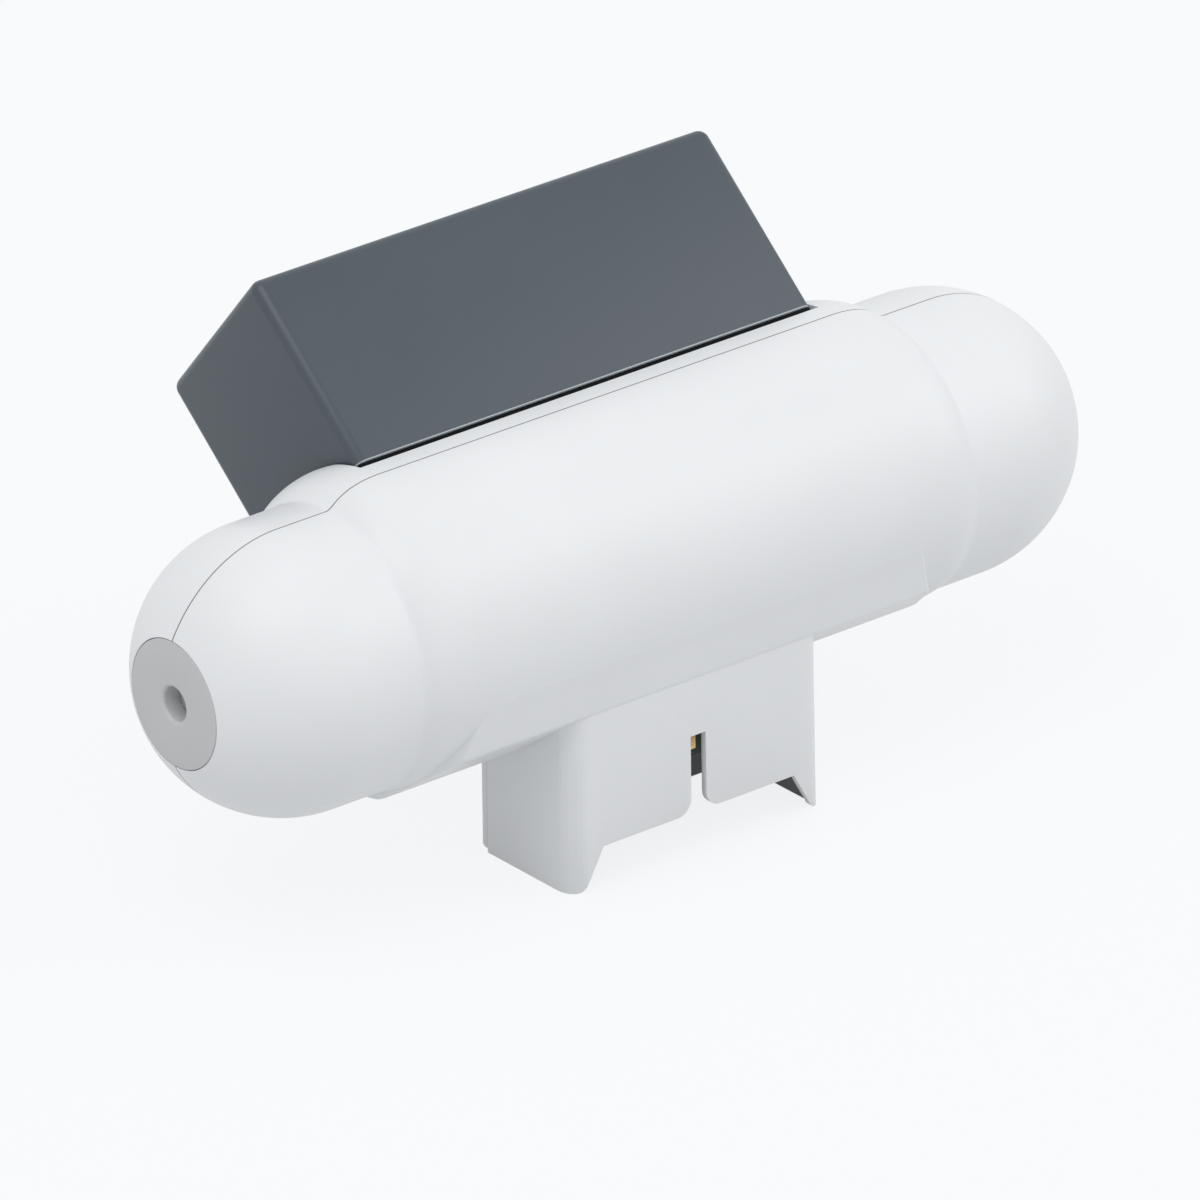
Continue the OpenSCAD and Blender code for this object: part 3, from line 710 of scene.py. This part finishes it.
def knee_at(angle):
    """Where a line of the mesh turns down at the chin's end, for a direction round the axis."""
    y, z = math.cos(angle), math.sin(angle)
    if y < 0 and chin_reach(y, z):
        return min(max(chin_end_x(y, z), KNEE_MIN), KNEE_MAX)
    turn = math.degrees(angle) % 360
    touch = math.degrees(math.atan2(CHIN_TOUCH.y, CHIN_TOUCH.x)) % 360
    if turn < 180:
        return KNEE
    if turn < touch:
        return KNEE + (KNEE_MIN - KNEE) * (turn - 180) / (touch - 180)
    return KNEE_MAX + (KNEE - KNEE_MAX) * min(max((turn - KNEE_BACK) / KNEE_BACK_RUN, 0), 1)


def bent_station(x, knee):
    """Moves a station so that the lines of the mesh run along the chin's slanted end."""
    size = abs(x)
    run = KNEE + CHIN_END_RUN
    if size <= KNEE_LOW or size >= KNEE_HIGH:
        return x
    if size <= KNEE:
        moved = KNEE_LOW + (size - KNEE_LOW) * (knee - KNEE_LOW) / (KNEE - KNEE_LOW)
    elif size <= run:
        moved = size - KNEE + knee
    else:
        moved = KNEE_HIGH - (KNEE_HIGH - size) * (KNEE_HIGH - knee - CHIN_END_RUN) / (KNEE_HIGH - run)
    return math.copysign(moved, x)


# Zones round the axis in degrees, and the share of the grid's columns that each takes
ZONES = [(0, 76, 0.16), (76, 92, 0.12), (92, 186, 0.2), (186, 258, 0.36), (258, 360, 0.16)]


def bearings(count):
    """Directions round the axis, close together over the kerb and over the chin."""
    turns = []
    for low, high, share in ZONES:
        steps = round(count * share)
        turns += [math.radians(low + (high - low) * i / steps) for i in range(steps)]
    turns.append(math.tau)
    for place in (CHIN_EDGE, CHIN_END):
        exact = math.pi + place[0]
        nearest = min(range(len(turns)), key=lambda i: abs(turns[i] - exact))
        turns[nearest] = exact
    return turns


# Stations in mm: coarse step, start and run of the fine ones, pocket's step, and runs up to the dome's
COARSE_STEP = 6
FINE_FROM = 54
FINE_RUN = 4
POCKET_STEP = 0.1
CHIN_END_STEPS = 9
PAST_CHIN_RUN = 13
PAST_CHIN_SHARE = 0.8
DOME_RUN = 18
LAST_STEP = 0.2


def stations(tip, inset, fine):
    """Places along the capsule, close together where the skin turns quickly."""
    steps = [i * COARSE_STEP * MM for i in range(FINE_FROM // COARSE_STEP)]
    steps += [(FINE_FROM + i * fine) * MM for i in range(int(FINE_RUN / fine))]
    pocket = [POCKET_X + i * POCKET_STEP * MM for i in range(-5, 7)]
    steps += [s for s in pocket if s > steps[-1]]
    steps += [steps[-1] + i * fine * MM for i in range(1, int((KNEE - steps[-1]) / (fine * MM)))]
    steps += [KNEE + i * CHIN_END_RUN / CHIN_END_STEPS for i in range(CHIN_END_STEPS + 1)]
    past = fine * PAST_CHIN_SHARE
    steps += [steps[-1] + i * past * MM for i in range(1, int(PAST_CHIN_RUN / past))]
    last = math.acos(min((tip - DOME_X) / (CAPSULE_R - inset), 1))
    turns = int(DOME_RUN / fine)
    dome = [DOME_X + (CAPSULE_R - inset) * math.cos(math.pi / 2 - (math.pi / 2 - last) * i / turns)
            for i in range(turns + 1)]
    steps += [s for s in dome if s > steps[-1] + LAST_STEP * MM]
    steps[-1] = tip
    return [-s for s in reversed(steps[1:])] + steps


def skin_solid(tip, inset=0.0, fine=0.4, columns=340):
    """Closed body of the capsule with its middle section, out to flat tips."""
    places = stations(tip, inset, fine)
    turns = bearings(columns)
    columns = len(turns) - 1
    knees = [knee_at(turn) for turn in turns]
    bm = bmesh.new()
    bmesh.ops.create_grid(bm, x_segments=len(places) - 1, y_segments=columns, size=0.5)
    for vert in bm.verts:
        column = round((vert.co.y + 0.5) * columns)
        x = bent_station(places[round((vert.co.x + 0.5) * (len(places) - 1))], knees[column])
        angle = turns[column]
        reach = skin_reach(x, angle, inset)
        vert.co = (x, reach * math.cos(angle), AXIS_Z + reach * math.sin(angle))
    bmesh.ops.remove_doubles(bm, verts=bm.verts, dist=0.002 * MM)
    bmesh.ops.holes_fill(bm, edges=[e for e in bm.edges if e.is_boundary], sides=0)
    bmesh.ops.recalc_face_normals(bm, faces=bm.faces)
    return bm


def half_of(bm, side):
    """The part of a closed solid ahead of the seam (side -1) or behind it (side 1), closed and lipped."""
    geom = bm.verts[:] + bm.edges[:] + bm.faces[:]
    bmesh.ops.bisect_plane(bm, geom=geom, plane_co=(0, side * HALF_GAP, 0), plane_no=(0, -side, 0),
                           clear_outer=True)
    bmesh.ops.holes_fill(bm, edges=[e for e in bm.edges if e.is_boundary], sides=0)
    bmesh.ops.recalc_face_normals(bm, faces=bm.faces)
    flat = [f for f in bm.faces if abs(f.calc_center_median().y - side * HALF_GAP) < HAIR]
    rim = {e for f in flat for e in f.edges if any(abs(abs(v.co.x) - END_X) > HAIR for v in e.verts)}
    return bevel(bm, list(rim), SEAM_LIP, 2, clamp=True)


def plug_seats():
    """Cutters for the end plugs, their filters and the air channels, with a fine lead-in at the mouth."""
    seat = PLUG_R - PLUG_LEDGE
    channel = seat - FILTER_LEDGE
    behind = END_X - PLUG_T
    mouth = PLUG_R + PLUG_LEAD_IN
    steps = [(END_X + 2 * MM, 0), (END_X + 2 * MM, mouth), (END_X + 0.001 * MM, mouth),
             (END_X - PLUG_LEAD_IN, PLUG_R), (behind, PLUG_R), (behind, seat), (behind - FILTER_ROOM, seat),
             (behind - FILTER_ROOM, channel), (END_X - AIR_DEPTH, channel), (END_X - AIR_DEPTH, 0)]
    cutters = [turned([(side * along, radius) for along, radius in steps]) for side in (-1, 1)]
    for cutter in cutters:
        cutter.transform(Matrix.Translation((0, 0, AXIS_Z)))
    return cutters


def inner_space():
    return skin_solid(END_X - END_WALL, WALL, fine=1.0, columns=144)


SCREW_PLACES = [((low.x + high.x) / 2, (low.z + high.z) / 2) for low, high in solid_boxes("shell_screws")]


# Foot

def foot_block(inset, low_z, high_z, back_y):
    """Tapered block of the foot with round front corners."""
    bm = block((-1, -FOOT_FRONT + inset, low_z), (1, back_y, high_z))
    for vert in bm.verts:
        half = FOOT_X - FOOT_DRAFT * vert.co.z / DRAFT_RUN - inset
        vert.co.x = math.copysign(half, vert.co.x)
    front = [e for e in bm.edges if all(v.co.y < -FOOT_FRONT / 2 for v in e.verts)
             and abs(e.verts[0].co.z - e.verts[1].co.z) > MM]
    return bevel(bm, front, FOOT_CORNER_R - inset, 8)


def lift_outline():
    """Opening under the raised front edge: corner tips, sloped gussets and the keying slot."""
    slope = math.atan2(FRONT_LIFT, TIP_X - GUSSET_X)
    tip_x = TIP_X + TIP_R * (1 - math.cos(slope)) / math.sin(slope)
    tip = arc((tip_x, TIP_R), TIP_R, 270, 270 - math.degrees(slope), 8)
    mouth = arc((SLOT_HALF + SLOT_MOUTH_R, FRONT_LIFT + SLOT_MOUTH_R), SLOT_MOUTH_R, 270, 180, 8)
    right = [(tip_x + 0.001 * MM, -5 * MM)] + tip + [(GUSSET_X, FRONT_LIFT)] + mouth + [(SLOT_HALF, SLOT_TOP)]
    left = [(-x, z) for x, z in reversed(right)]
    return right + left


def foot_solid():
    outer = foot_block(0, 0, FOOT_TOP, -HALF_GAP)
    inner = foot_block(FOOT_WALL, -MM, FOOT_TOP + MM, 2 * MM)
    opening = prism(lift_outline(), -FOOT_FRONT - MM, -FOOT_FRONT + 4 * MM)
    foot = tidy_flats(cut(outer, inner, opening))
    return soften(foot, EDGE_ROUND, 2, 35, lambda p: p.z < FOOT_TOP - 2 * MM and p.y < -0.5 * MM)


def back_plate():
    """Plate that closes the foot behind the seam."""
    corner = arc((FOOT_X - RIM_CORNER_R, RIM_CORNER_R), RIM_CORNER_R, 270, 360, 6)
    right = corner + [(FOOT_X - FOOT_DRAFT, PLATE_TOP)]
    plate = prism(right + [(-x, z) for x, z in reversed(right)], HALF_GAP, HALF_GAP + PLATE_T)
    return soften(plate, EDGE_ROUND, 2, 35)


def paint_foot_shade(shell):
    """Paints shade on the faces inside the foot with a dark material, as seen through the slot."""
    mesh = shell.data
    mesh.materials.append(FOOT_PAINTED_SHADE)
    room = 0.1 * MM
    half_x, front_y = FOOT_X - FOOT_WALL + room, FOOT_WALL - FOOT_FRONT - room
    low_z, high_z = 0.3 * MM, AXIS_Z - CAPSULE_R + 3 * MM
    for face in mesh.polygons:
        spot = face.center
        within = abs(spot.x) < half_x and front_y < spot.y < HALF_GAP + room and low_z < spot.z < high_z
        if within and not faces_out(face):
            # These inside faces take the painted shade.
            face.material_index = 1


def faces_out(face):
    """True for faces that turn away from the middle of the foot, or down to the rim."""
    spot, normal = face.center, face.normal
    ahead = spot.y < -HALF_GAP - MM and normal.y < -0.3
    return ahead or normal.z < -0.5 or normal.x * spot.x > 0.3 * abs(spot.x)


# Shells

def boss(x, z, side):
    """Round boss from the seam to the middle of the wall that carries it."""
    corner = abs(z - AXIS_Z) + BOSS_R
    depth = math.sqrt((CAPSULE_R - WALL / 2) ** 2 - corner ** 2)
    return rod((x, side * HALF_GAP, z), (x, side * depth, z), BOSS_R)


def front_shell():
    bosses = [boss(x, z, -1) for x, z in SCREW_PLACES]
    bores = [rod((x, 0, z), (x, -SCREW_BITE - 2 * MM, z), SCREW_R) for x, z in SCREW_PLACES]
    tongue_low, tongue_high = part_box("main_board")
    room = 1 * MM
    passage = block((-TONGUE_HALF, tongue_low.y - room, tongue_low.z),
                    (TONGUE_HALF, tongue_high.y + room, PASSAGE_TOP))
    shell = half_of(skin_solid(END_X), -1)
    shell = merged(shell, foot_solid())
    shell = cut(shell, inner_space())
    shell = merged(shell, *bosses)
    shell = cut(shell, *plug_seats(), *bores, passage)
    paint_foot_shade(finish_piece("front_shell_moulding", shell, SHELL_WHITE, ["front_shell"]))


def counterbore(x, z):
    """Cutters for a screw's clearance hole and its counterbore, out past the skin."""
    hole = rod((x, 0, z), (x, SEAT_Y + MM, z), SCREW_R + SCREW_CLEAR)
    return [hole, rod((x, SEAT_Y, z), (x, PAST_SKIN, z), COUNTERBORE_R)]


def rear_shell():
    bosses = [boss(x, z, 1) for x, z in SCREW_PLACES]
    holes = [cutter for x, z in SCREW_PLACES for cutter in counterbore(x, z)]
    ribbon = block((-RIBBON_HALF_L, -RIBBON_HALF_W, -RIBBON_DEPTH), (RIBBON_HALF_L, RIBBON_HALF_W, 2 * MM))
    ribbon.transform(lean_matrix(0, RIBBON_V, PLATFORM_U))
    shell = half_of(skin_solid(END_X), 1)
    shell = merged(shell, back_plate())
    shell = cut(shell, inner_space())
    shell = merged(shell, *bosses)
    shell = cut(shell, *plug_seats(), *holes, ribbon)
    paint_foot_shade(finish_piece("rear_shell_moulding", shell, SHELL_WHITE, ["rear_shell"]))


def end_plug(name, side):
    """Flush grey plug with a softly flared air port and a fine edge round."""
    outer = PLUG_R - PLUG_GAP
    back = END_X - PLUG_T
    rim = arc((END_X - PLUG_EDGE, outer - PLUG_EDGE), PLUG_EDGE, 90, 0, 3)
    lip = arc((END_X - PORT_FLARE, PORT_R + PORT_FLARE), PORT_FLARE, 0, -90, 6)
    loop = [(side * along, radius) for along, radius in [(back, outer)] + rim + lip + [(back, PORT_R)]]
    plug = turned(loop, closed=True, segments=128)
    plug.transform(Matrix.Translation((0, 0, AXIS_Z)))
    return finish_piece(name + "_moulding", plug, PLUG_GREY, [name])


# Module cover

def rounded_box(length, width, height, radius, segments):
    """Box on its open face, with its other edges rounded."""
    bm = block((-length / 2, -width / 2, 0), (length / 2, width / 2, height))
    edges = [e for e in bm.edges if max(v.co.z for v in e.verts) > MM]
    return bevel(bm, edges, radius, segments)


def module_cover():
    """Box cover with a fine lip round its open foot."""
    height = COVER_TOP - COVER_LOW
    inner_l = COVER_L - 2 * COVER_WALL
    inner_w = COVER_W - 2 * COVER_WALL
    outer = rounded_box(COVER_L, COVER_W, height, COVER_CORNER_R, 8)
    inner = rounded_box(inner_l, inner_w, height - COVER_WALL + MM, COVER_INNER_R, 4)
    inner.transform(Matrix.Translation((0, 0, -MM)))
    cover = cut(outer, inner)
    soften(cover, COVER_LIP, 3, 60, lambda p: p.z < 0.1 * MM)
    cover.transform(lean_matrix(0, 0, COVER_LOW))
    return finish_piece("module_cover_moulding", cover, COVER_GREY, ["module_cover"],
                        COVER_BODY)


def cover_gasket():
    """Foam strip round the tray, from the platform to the cover's lip."""
    low, high = PLATFORM_U + 2 * HAIR, COVER_LOW - 2 * HAIR
    half_l, half_w = COVER_L / 2 - GASKET_INSET, COVER_W / 2 - GASKET_INSET
    inset = COVER_WALL + GASKET_CLEAR
    inner_l, inner_w = COVER_L / 2 - inset, COVER_W / 2 - inset
    ring = cut(block((-half_l, -half_w, low), (half_l, half_w, high)),
               block((-inner_l, -inner_w, low - MM), (inner_l, inner_w, high + MM)))
    soften(ring, 0.2 * MM, 2, 40)
    ring.transform(lean_matrix())
    return finish_piece("gasket_strip", ring, GASKET_BLACK, ["cover_gasket"])


# Frames of the boards: the module's own, and the rear face of the main board

LEAN_FRAME = lean_matrix()
REAR_FACE = Matrix.Rotation(-math.pi / 2, 4, "X")


def node_box(node, frame_of_node):
    """Low and high corners of a CAD node in its own frame."""
    boxes = solid_boxes(node, frame_of_node.inverted())
    low = Vector([min(box[0][i] for box in boxes) for i in range(3)])
    high = Vector([max(box[1][i] for box in boxes) for i in range(3)])
    return low, high


BOARD_TOP = node_box("sensor_board", LEAN_FRAME)[1].z
BENCH_U = node_box("optical_bench", LEAN_FRAME)[0].z + BENCH_AXIS


# Screws

def screw(head_r, head_h, shaft_r, shaft_l):
    """Pan-head screw along Z with a cross recess and thread grooves, its head's underside at the origin."""
    pitch = 0.8 * MM
    root = shaft_r - 0.22 * MM
    profile = [(-shaft_l, 0), (-shaft_l, root * 0.6)]
    for i in range(1, int((shaft_l - 0.6 * MM) / pitch)):
        crest = -shaft_l + i * pitch
        profile += [(crest - pitch * 0.4, root), (crest, shaft_r), (crest + pitch * 0.1, shaft_r)]
    crown = head_h * 0.55
    profile += [(-0.2 * MM, root), (0, root), (0, head_r - 0.1 * MM), (0.1 * MM, head_r)]
    for turn in range(0, 90, 15):
        t = math.radians(turn)
        profile.append((head_h - crown + crown * math.sin(t), head_r * math.cos(t)))
    profile.append((head_h, 0))
    body = turned_upright(profile, 40)
    reach, half = head_r * 0.55, head_r * 0.12
    low = head_h * 0.45
    return cut(body, block((-reach, -half, low), (reach, half, head_h + MM)),
               block((-half, -reach, low), (half, reach, head_h + MM)))


def screws(node, head_h, shaft_r, turn):
    """Screws where a CAD node has its plain ones, with their heads up in a frame."""
    boxes = solid_boxes(node, turn.inverted())
    low, high = boxes[0]
    shape = screw((high.x - low.x) / 2, head_h, shaft_r, high.z - low.z - head_h)
    shapes = copies(shape, places_of(boxes, turn, head_h))
    return finish_piece(node + "_turned", shapes, STEEL, [node])


# Parts soldered to the boards

def bent_leg(reach, height, width):
    """Gull-wing leg that runs out along X from a chip's side and ends flat on the board."""
    sheet = 0.15 * MM
    outline = [(-0.2 * MM, height), (reach * 0.35, height), (reach * 0.6, sheet), (reach, sheet), (reach, 0),
               (reach * 0.5, 0), (reach * 0.25, height - sheet), (-0.2 * MM, height - sheet)]
    return prism(outline, -width / 2, width / 2)


def leg_places(half_w, count, pitch, sides):
    """Places of the legs round a chip, in rows on the sides given in quarter turns."""
    places = []
    for side in sides:
        turn = Matrix.Rotation(side * math.pi / 2, 4, "Z")
        for i in range(count):
            across = (i - (count - 1) / 2) * pitch
            places.append(turn @ Matrix.Translation((half_w, across, 0)))
    return places


def chips(node, turn, body, legs, pitch, sides):
    """Moulded chips with a round mark, where a CAD node has its plain ones, and their tinned legs."""
    boxes = solid_boxes(node, turn.inverted())
    low, high = boxes[0]
    size = high - low
    half_l, half_w = body[0] / 2, body[1] / 2
    shape = soften(block((-half_l, -half_w, 0.1 * MM), (half_l, half_w, size.z)), 0.12 * MM, 2)
    mark_x, mark_y = 0.8 * MM - half_l, 0.8 * MM - half_w
    mark = rod((mark_x, mark_y, size.z - 0.08 * MM), (mark_x, mark_y, size.z + MM), 0.3 * MM, segments=24)
    shape = cut(shape, mark)
    reach = (size.y / 2 - half_w) if 1 in sides else (size.x / 2 - half_l)
    leg = bent_leg(reach, size.z * 0.45, pitch * 0.45)
    row = copies(leg, leg_places(half_w if 1 in sides else half_l, legs, pitch, sides))
    places = places_of(boxes, turn)
    finish_piece(node + "_moulded", copies(shape, places), CHIP_BLACK, [node])
    finish_piece(node + "_legs", copies(row, places), TINNED)


def small_parts():
    """Rows of chip resistors and capacitors on the sensor board beside the optical bench."""
    rows, pitch = (-13.6, -11.2, 11.2, 13.6), 4.6
    half_l, half_w, height = 0.8 * MM, 0.4 * MM, 0.5 * MM
    cap = 0.32 * MM
    spots = []
    for row, across in enumerate(rows):
        for i in range(-4, 5):
            if (i * 3 + row) % 4:
                spots.append(Matrix.Translation(((i * pitch + row % 2) * MM, across * MM, BOARD_TOP)))
    places = [LEAN_FRAME @ spot for spot in spots]
    core_l, core_w, core_low = half_l - cap, half_w - 3 * HAIR, 2 * HAIR
    for name, drop, chosen, material, slot in (
            ("small_part_bodies", 0.03 * MM, places[::2], CERAMIC_TAN, "socket_ivory"),
            ("small_resistor_bodies", 0.08 * MM, places[1::2], CHIP_BLACK, "chip_black")):
        core = block((-core_l, -core_w, core_low), (core_l, core_w, height - drop))
        finish_piece(name, copies(core, chosen), material)
    ends = [soften(block((low, -half_w, 0), (low + cap, half_w, height)), 0.05 * MM, 1)
            for low in (-half_l, half_l - cap)]
    finish_piece("small_part_ends", copies(joined(*ends), places), TINNED)


def capacitor_cans():
    """Round capacitors with a rolled groove over the seal and a bare scored lid."""
    boxes = solid_boxes("capacitors", REAR_FACE.inverted())
    low, high = boxes[0]
    r, h = (high.x - low.x) / 2, high.z - low.z
    lid_r = r - 0.95 * MM
    profile = [(0, 0), (0, r - 0.3 * MM), (0.3 * MM, r), (1.0 * MM, r), (1.25 * MM, r - 0.3 * MM),
               (1.55 * MM, r - 0.3 * MM), (1.8 * MM, r), (h - 0.5 * MM, r), (h - 0.15 * MM, r - 0.15 * MM),
               (h, r - 0.5 * MM), (h, r - 0.9 * MM), (h - 0.2 * MM, lid_r), (h - 0.2 * MM, 0)]
    sleeve = turned_upright(profile, 64)
    half, deep = 0.1 * MM, h - 0.12 * MM
    lid = cut(rod((0, 0, h - 0.3 * MM), (0, 0, h - 0.05 * MM), lid_r),
              block((-r, -half, deep), (r, half, h + MM)), block((-half, -r, deep), (half, r, h + MM)))
    places = places_of(boxes, REAR_FACE)
    finish_piece("capacitor_sleeves", copies(sleeve, places), SLEEVE_BLUE, ["capacitors"])
    finish_piece("capacitor_lids", copies(lid, places), CAP_METAL)


# Optical bench and what closes its ends

def bench_can(node, side):
    """Metal can with a rolled flange, a glass seal and three leads down to the sensor board."""
    low, high = node_box(node, LEAN_FRAME)
    r = (high.y - low.y) / 2
    flange = 1.5 * MM
    face = high.x if side > 0 else -low.x
    inner = low.x if side > 0 else -high.x
    back = face - flange
    barrel = r - 1.25 * MM
    profile = [(inner, 0), (inner, r - 1.7 * MM), (inner + 0.4 * MM, barrel), (back, barrel),
               (back, r - 0.15 * MM), (back + 0.15 * MM, r), (face - 0.6 * MM, r),
               (face - 0.15 * MM, r - 0.25 * MM), (face, r - 0.7 * MM), (face, r - 1.3 * MM),
               (face - 0.35 * MM, r - 1.6 * MM), (face - 0.35 * MM, 0)]
    shape = turned(profile, segments=72)
    wire_r, solder_r, solder_h = 0.25 * MM, 0.6 * MM, 0.5 * MM
    leads = []
    for across, up, out in ((-1.8, 0, 1.6), (1.8, 0, 1.6), (0, 1.8, 2.6)):
        start = Vector((face - 0.4 * MM, across * MM, up * MM))
        bend = Vector((face + out * MM, across * MM, up * MM))
        foot = Vector((bend.x, bend.y, BOARD_TOP - BENCH_U))
        leads.append(rod(start, bend, wire_r, segments=16))
        leads.append(rod(bend + Vector((0, 0, wire_r)), foot, wire_r, segments=16))
        leads.append(rod(foot, foot + Vector((0, 0, solder_h)), solder_r, wire_r + 2 * HAIR, segments=16))
    wires = joined(*leads)
    place = lean_matrix(0, 0, BENCH_U)
    if side < 0:
        place = place @ Matrix.Rotation(math.pi, 4, "Z")
    shape.transform(place)
    wires.transform(place)
    finish_piece(node + "_turned", shape, STEEL, [node])
    finish_piece(node + "_leads", wires, TINNED)


# CAD nodes that keep their shape, with their edges softened where they show

# Node, finish, slot, width of the rounded edges in mm, and their steps
MODULE_NODES = [
    ("module_tray", TRAY_GREY, "tray_plastic", 0.25, 2),
    ("sensor_board", SENSOR_GREEN, "board_green", 0.1, 1),
    ("optical_bench", BENCH_GOLD, "bench_gold", 0.3, 2),
    ("bench_clamps", CLAMP_BLACK, "clamp_plastic", 0.25, 2),
    ("bench_membrane", FELT_GREY, "filter_felt", 0.12, 2),
]
BOARD_NODES = [
    ("radio_shield", STEEL, "steel", 0.1, 1),
    ("voltage_regulator", CHIP_BLACK, "chip_black", 0.3, 2),
    ("climate_sensor", CAP_METAL, "climate_metal", 0.15, 2),
    ("link_sockets", SOCKET_IVORY, "socket_ivory", 0.25, 2),
    ("edge_contacts", CONTACT_GOLD, "contact_gold", 0.03, 1),
    ("main_board", MAIN_GREEN, "board_green", 0.1, 1),
]


def softened_nodes(rows):
    """Copies of CAD nodes with their edges rounded."""
    for node, material, slot, width, segments in rows:
        bm = soften(tidy_flats(node_copy(node)), width * MM, segments, 40)
        finish_piece(node + "_softened", bm, material, [node])


def module_pieces():
    """What shows when the cover is lifted off."""
    softened_nodes(MODULE_NODES)
    bench_can("infrared_lamp", -1)
    bench_can("detector_can", 1)
    chips("signal_chips", LEAN_FRAME, (5.0 * MM, 3.7 * MM), 4, 1.27 * MM, (1, 3))
    small_parts()
    screws("tray_screws", 1.3 * MM, 0.99 * MM, LEAN_FRAME)


def main_board_pieces():
    """What the main board carries, and the screws behind it."""
    chips("microcontroller", REAR_FACE, (10 * MM, 10 * MM), 11, 0.8 * MM, (0, 1, 2, 3))
    capacitor_cans()
    softened_nodes(BOARD_NODES)
    screws("board_screws", 1.3 * MM, 0.99 * MM, REAR_FACE)
    screws("shell_screws", 2.2 * MM, 1.24 * MM, REAR_FACE)


def dress_nodes():
    """Gives every CAD node that keeps its own mesh its material."""
    finishes = {"left_filter": FELT_GREY, "right_filter": FELT_GREY, "link_ribbon": RIBBON_AMBER}
    for node, material in finishes.items():
        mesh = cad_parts[node].data
        mesh.materials.clear()
        mesh.materials.append(material)


# Camera, floor and light

CAMERA_RIGHT = Vector((0.77979, -0.62586, -0.01481))
CAMERA_UP = Vector((0.28071, 0.32841, 0.90186))
CAMERA_AHEAD = Vector((0.55957, 0.70743, -0.43179))
CAMERA_PLACE = Vector((-1.8904, -2.3863, 1.4459 + AXIS_Z))
LENS = 505.5
SENSOR = 36

BACKDROP = (0.945, 0.962, 0.972, 1)
SKY = (0.97, 0.985, 1, 1)
WORLD_LIGHT = 0.74
FLOOR_GLOW = 1.05
FLOOR_SHARE = 0.85
LIGHT_AIM = Vector((0, 0, 0.06))
LIGHT_SIZE = 1.2


def photo_camera():
    """Camera at the photograph's viewing angle."""
    camera = linked("camera", bpy.data.cameras.new("camera"))
    turn = Matrix((CAMERA_RIGHT, CAMERA_UP, -CAMERA_AHEAD)).transposed().to_4x4()
    camera.matrix_world = Matrix.Translation(CAMERA_PLACE) @ turn
    camera.data.lens = LENS
    camera.data.sensor_width = SENSOR
    camera.data.clip_end = 50
    bpy.context.scene.camera = camera


def area_light(name, place, power):
    """Large soft light that faces the object."""
    lamp = bpy.data.lights.new(name, "AREA")
    lamp.shape = "SQUARE"
    lamp.size = LIGHT_SIZE
    lamp.energy = power
    holder = linked(name, lamp)
    holder.location = place
    holder.rotation_euler = (LIGHT_AIM - Vector(place)).to_track_quat("-Z", "Y").to_euler()


def seen_directly(owner):
    """1 for rays that show the background: straight to the camera, mirrored or through glass."""
    path = add_node(owner, "ShaderNodeLightPath")
    straight = math_node(owner, "MAXIMUM", (path, "Is Camera Ray"), (path, "Is Transmission Ray"))
    return math_node(owner, "MAXIMUM", (straight, 0), (path, "Is Glossy Ray"))


def mix_to_surface(owner, share, first, second, end):
    """Sends a mix of two shaders to the output node."""
    mix = add_node(owner, "ShaderNodeMixShader")
    for socket, node in enumerate((share, first, second)):
        link(owner, node, 0, mix, socket)
    link(owner, mix, 0, owner.node_tree.nodes[end], "Surface")


def studio_world():
    """Even pale light from all round, with the backdrop's white where it is seen."""
    world = bpy.data.worlds.new("studio")
    world.use_nodes = True
    light = world.node_tree.nodes["Background"]
    light.inputs["Color"].default_value = SKY
    light.inputs["Strength"].default_value = WORLD_LIGHT
    shown = add_node(world, "ShaderNodeBackground", Color=BACKDROP, Strength=1)
    mix_to_surface(world, seen_directly(world), light, shown, "World Output")
    bpy.context.scene.world = world


def studio_floor():
    """Wide pale floor that keeps a soft shadow, and reads as the backdrop's white elsewhere."""
    bm = bmesh.new()
    bmesh.ops.create_grid(bm, x_segments=1, y_segments=1, size=6)
    floor = linked("floor", as_mesh(bm, "floor"))
    material = new_material("floor_white", (0.66, 0.665, 0.67), 0.9)
    glow = add_node(material, "ShaderNodeEmission", Color=BACKDROP, Strength=FLOOR_GLOW)
    share = math_node(material, "MULTIPLY", (seen_directly(material), 0), FLOOR_SHARE)
    mix_to_surface(material, share, shader_of(material), glow, "Material Output")
    floor.data.materials.append(material)


def studio():
    photo_camera()
    studio_world()
    studio_floor()
    area_light("key", (-0.8, -0.35, 1.75), 9.5)
    area_light("fill", (1.5, -1.1, 1.1), 8)
    bpy.context.scene.view_settings.view_transform = "Standard"


front_shell()
rear_shell()
end_plug("left_end_plug", -1)
end_plug("right_end_plug", 1)
module_cover()
cover_gasket()
module_pieces()
main_board_pieces()
dress_nodes()
studio()
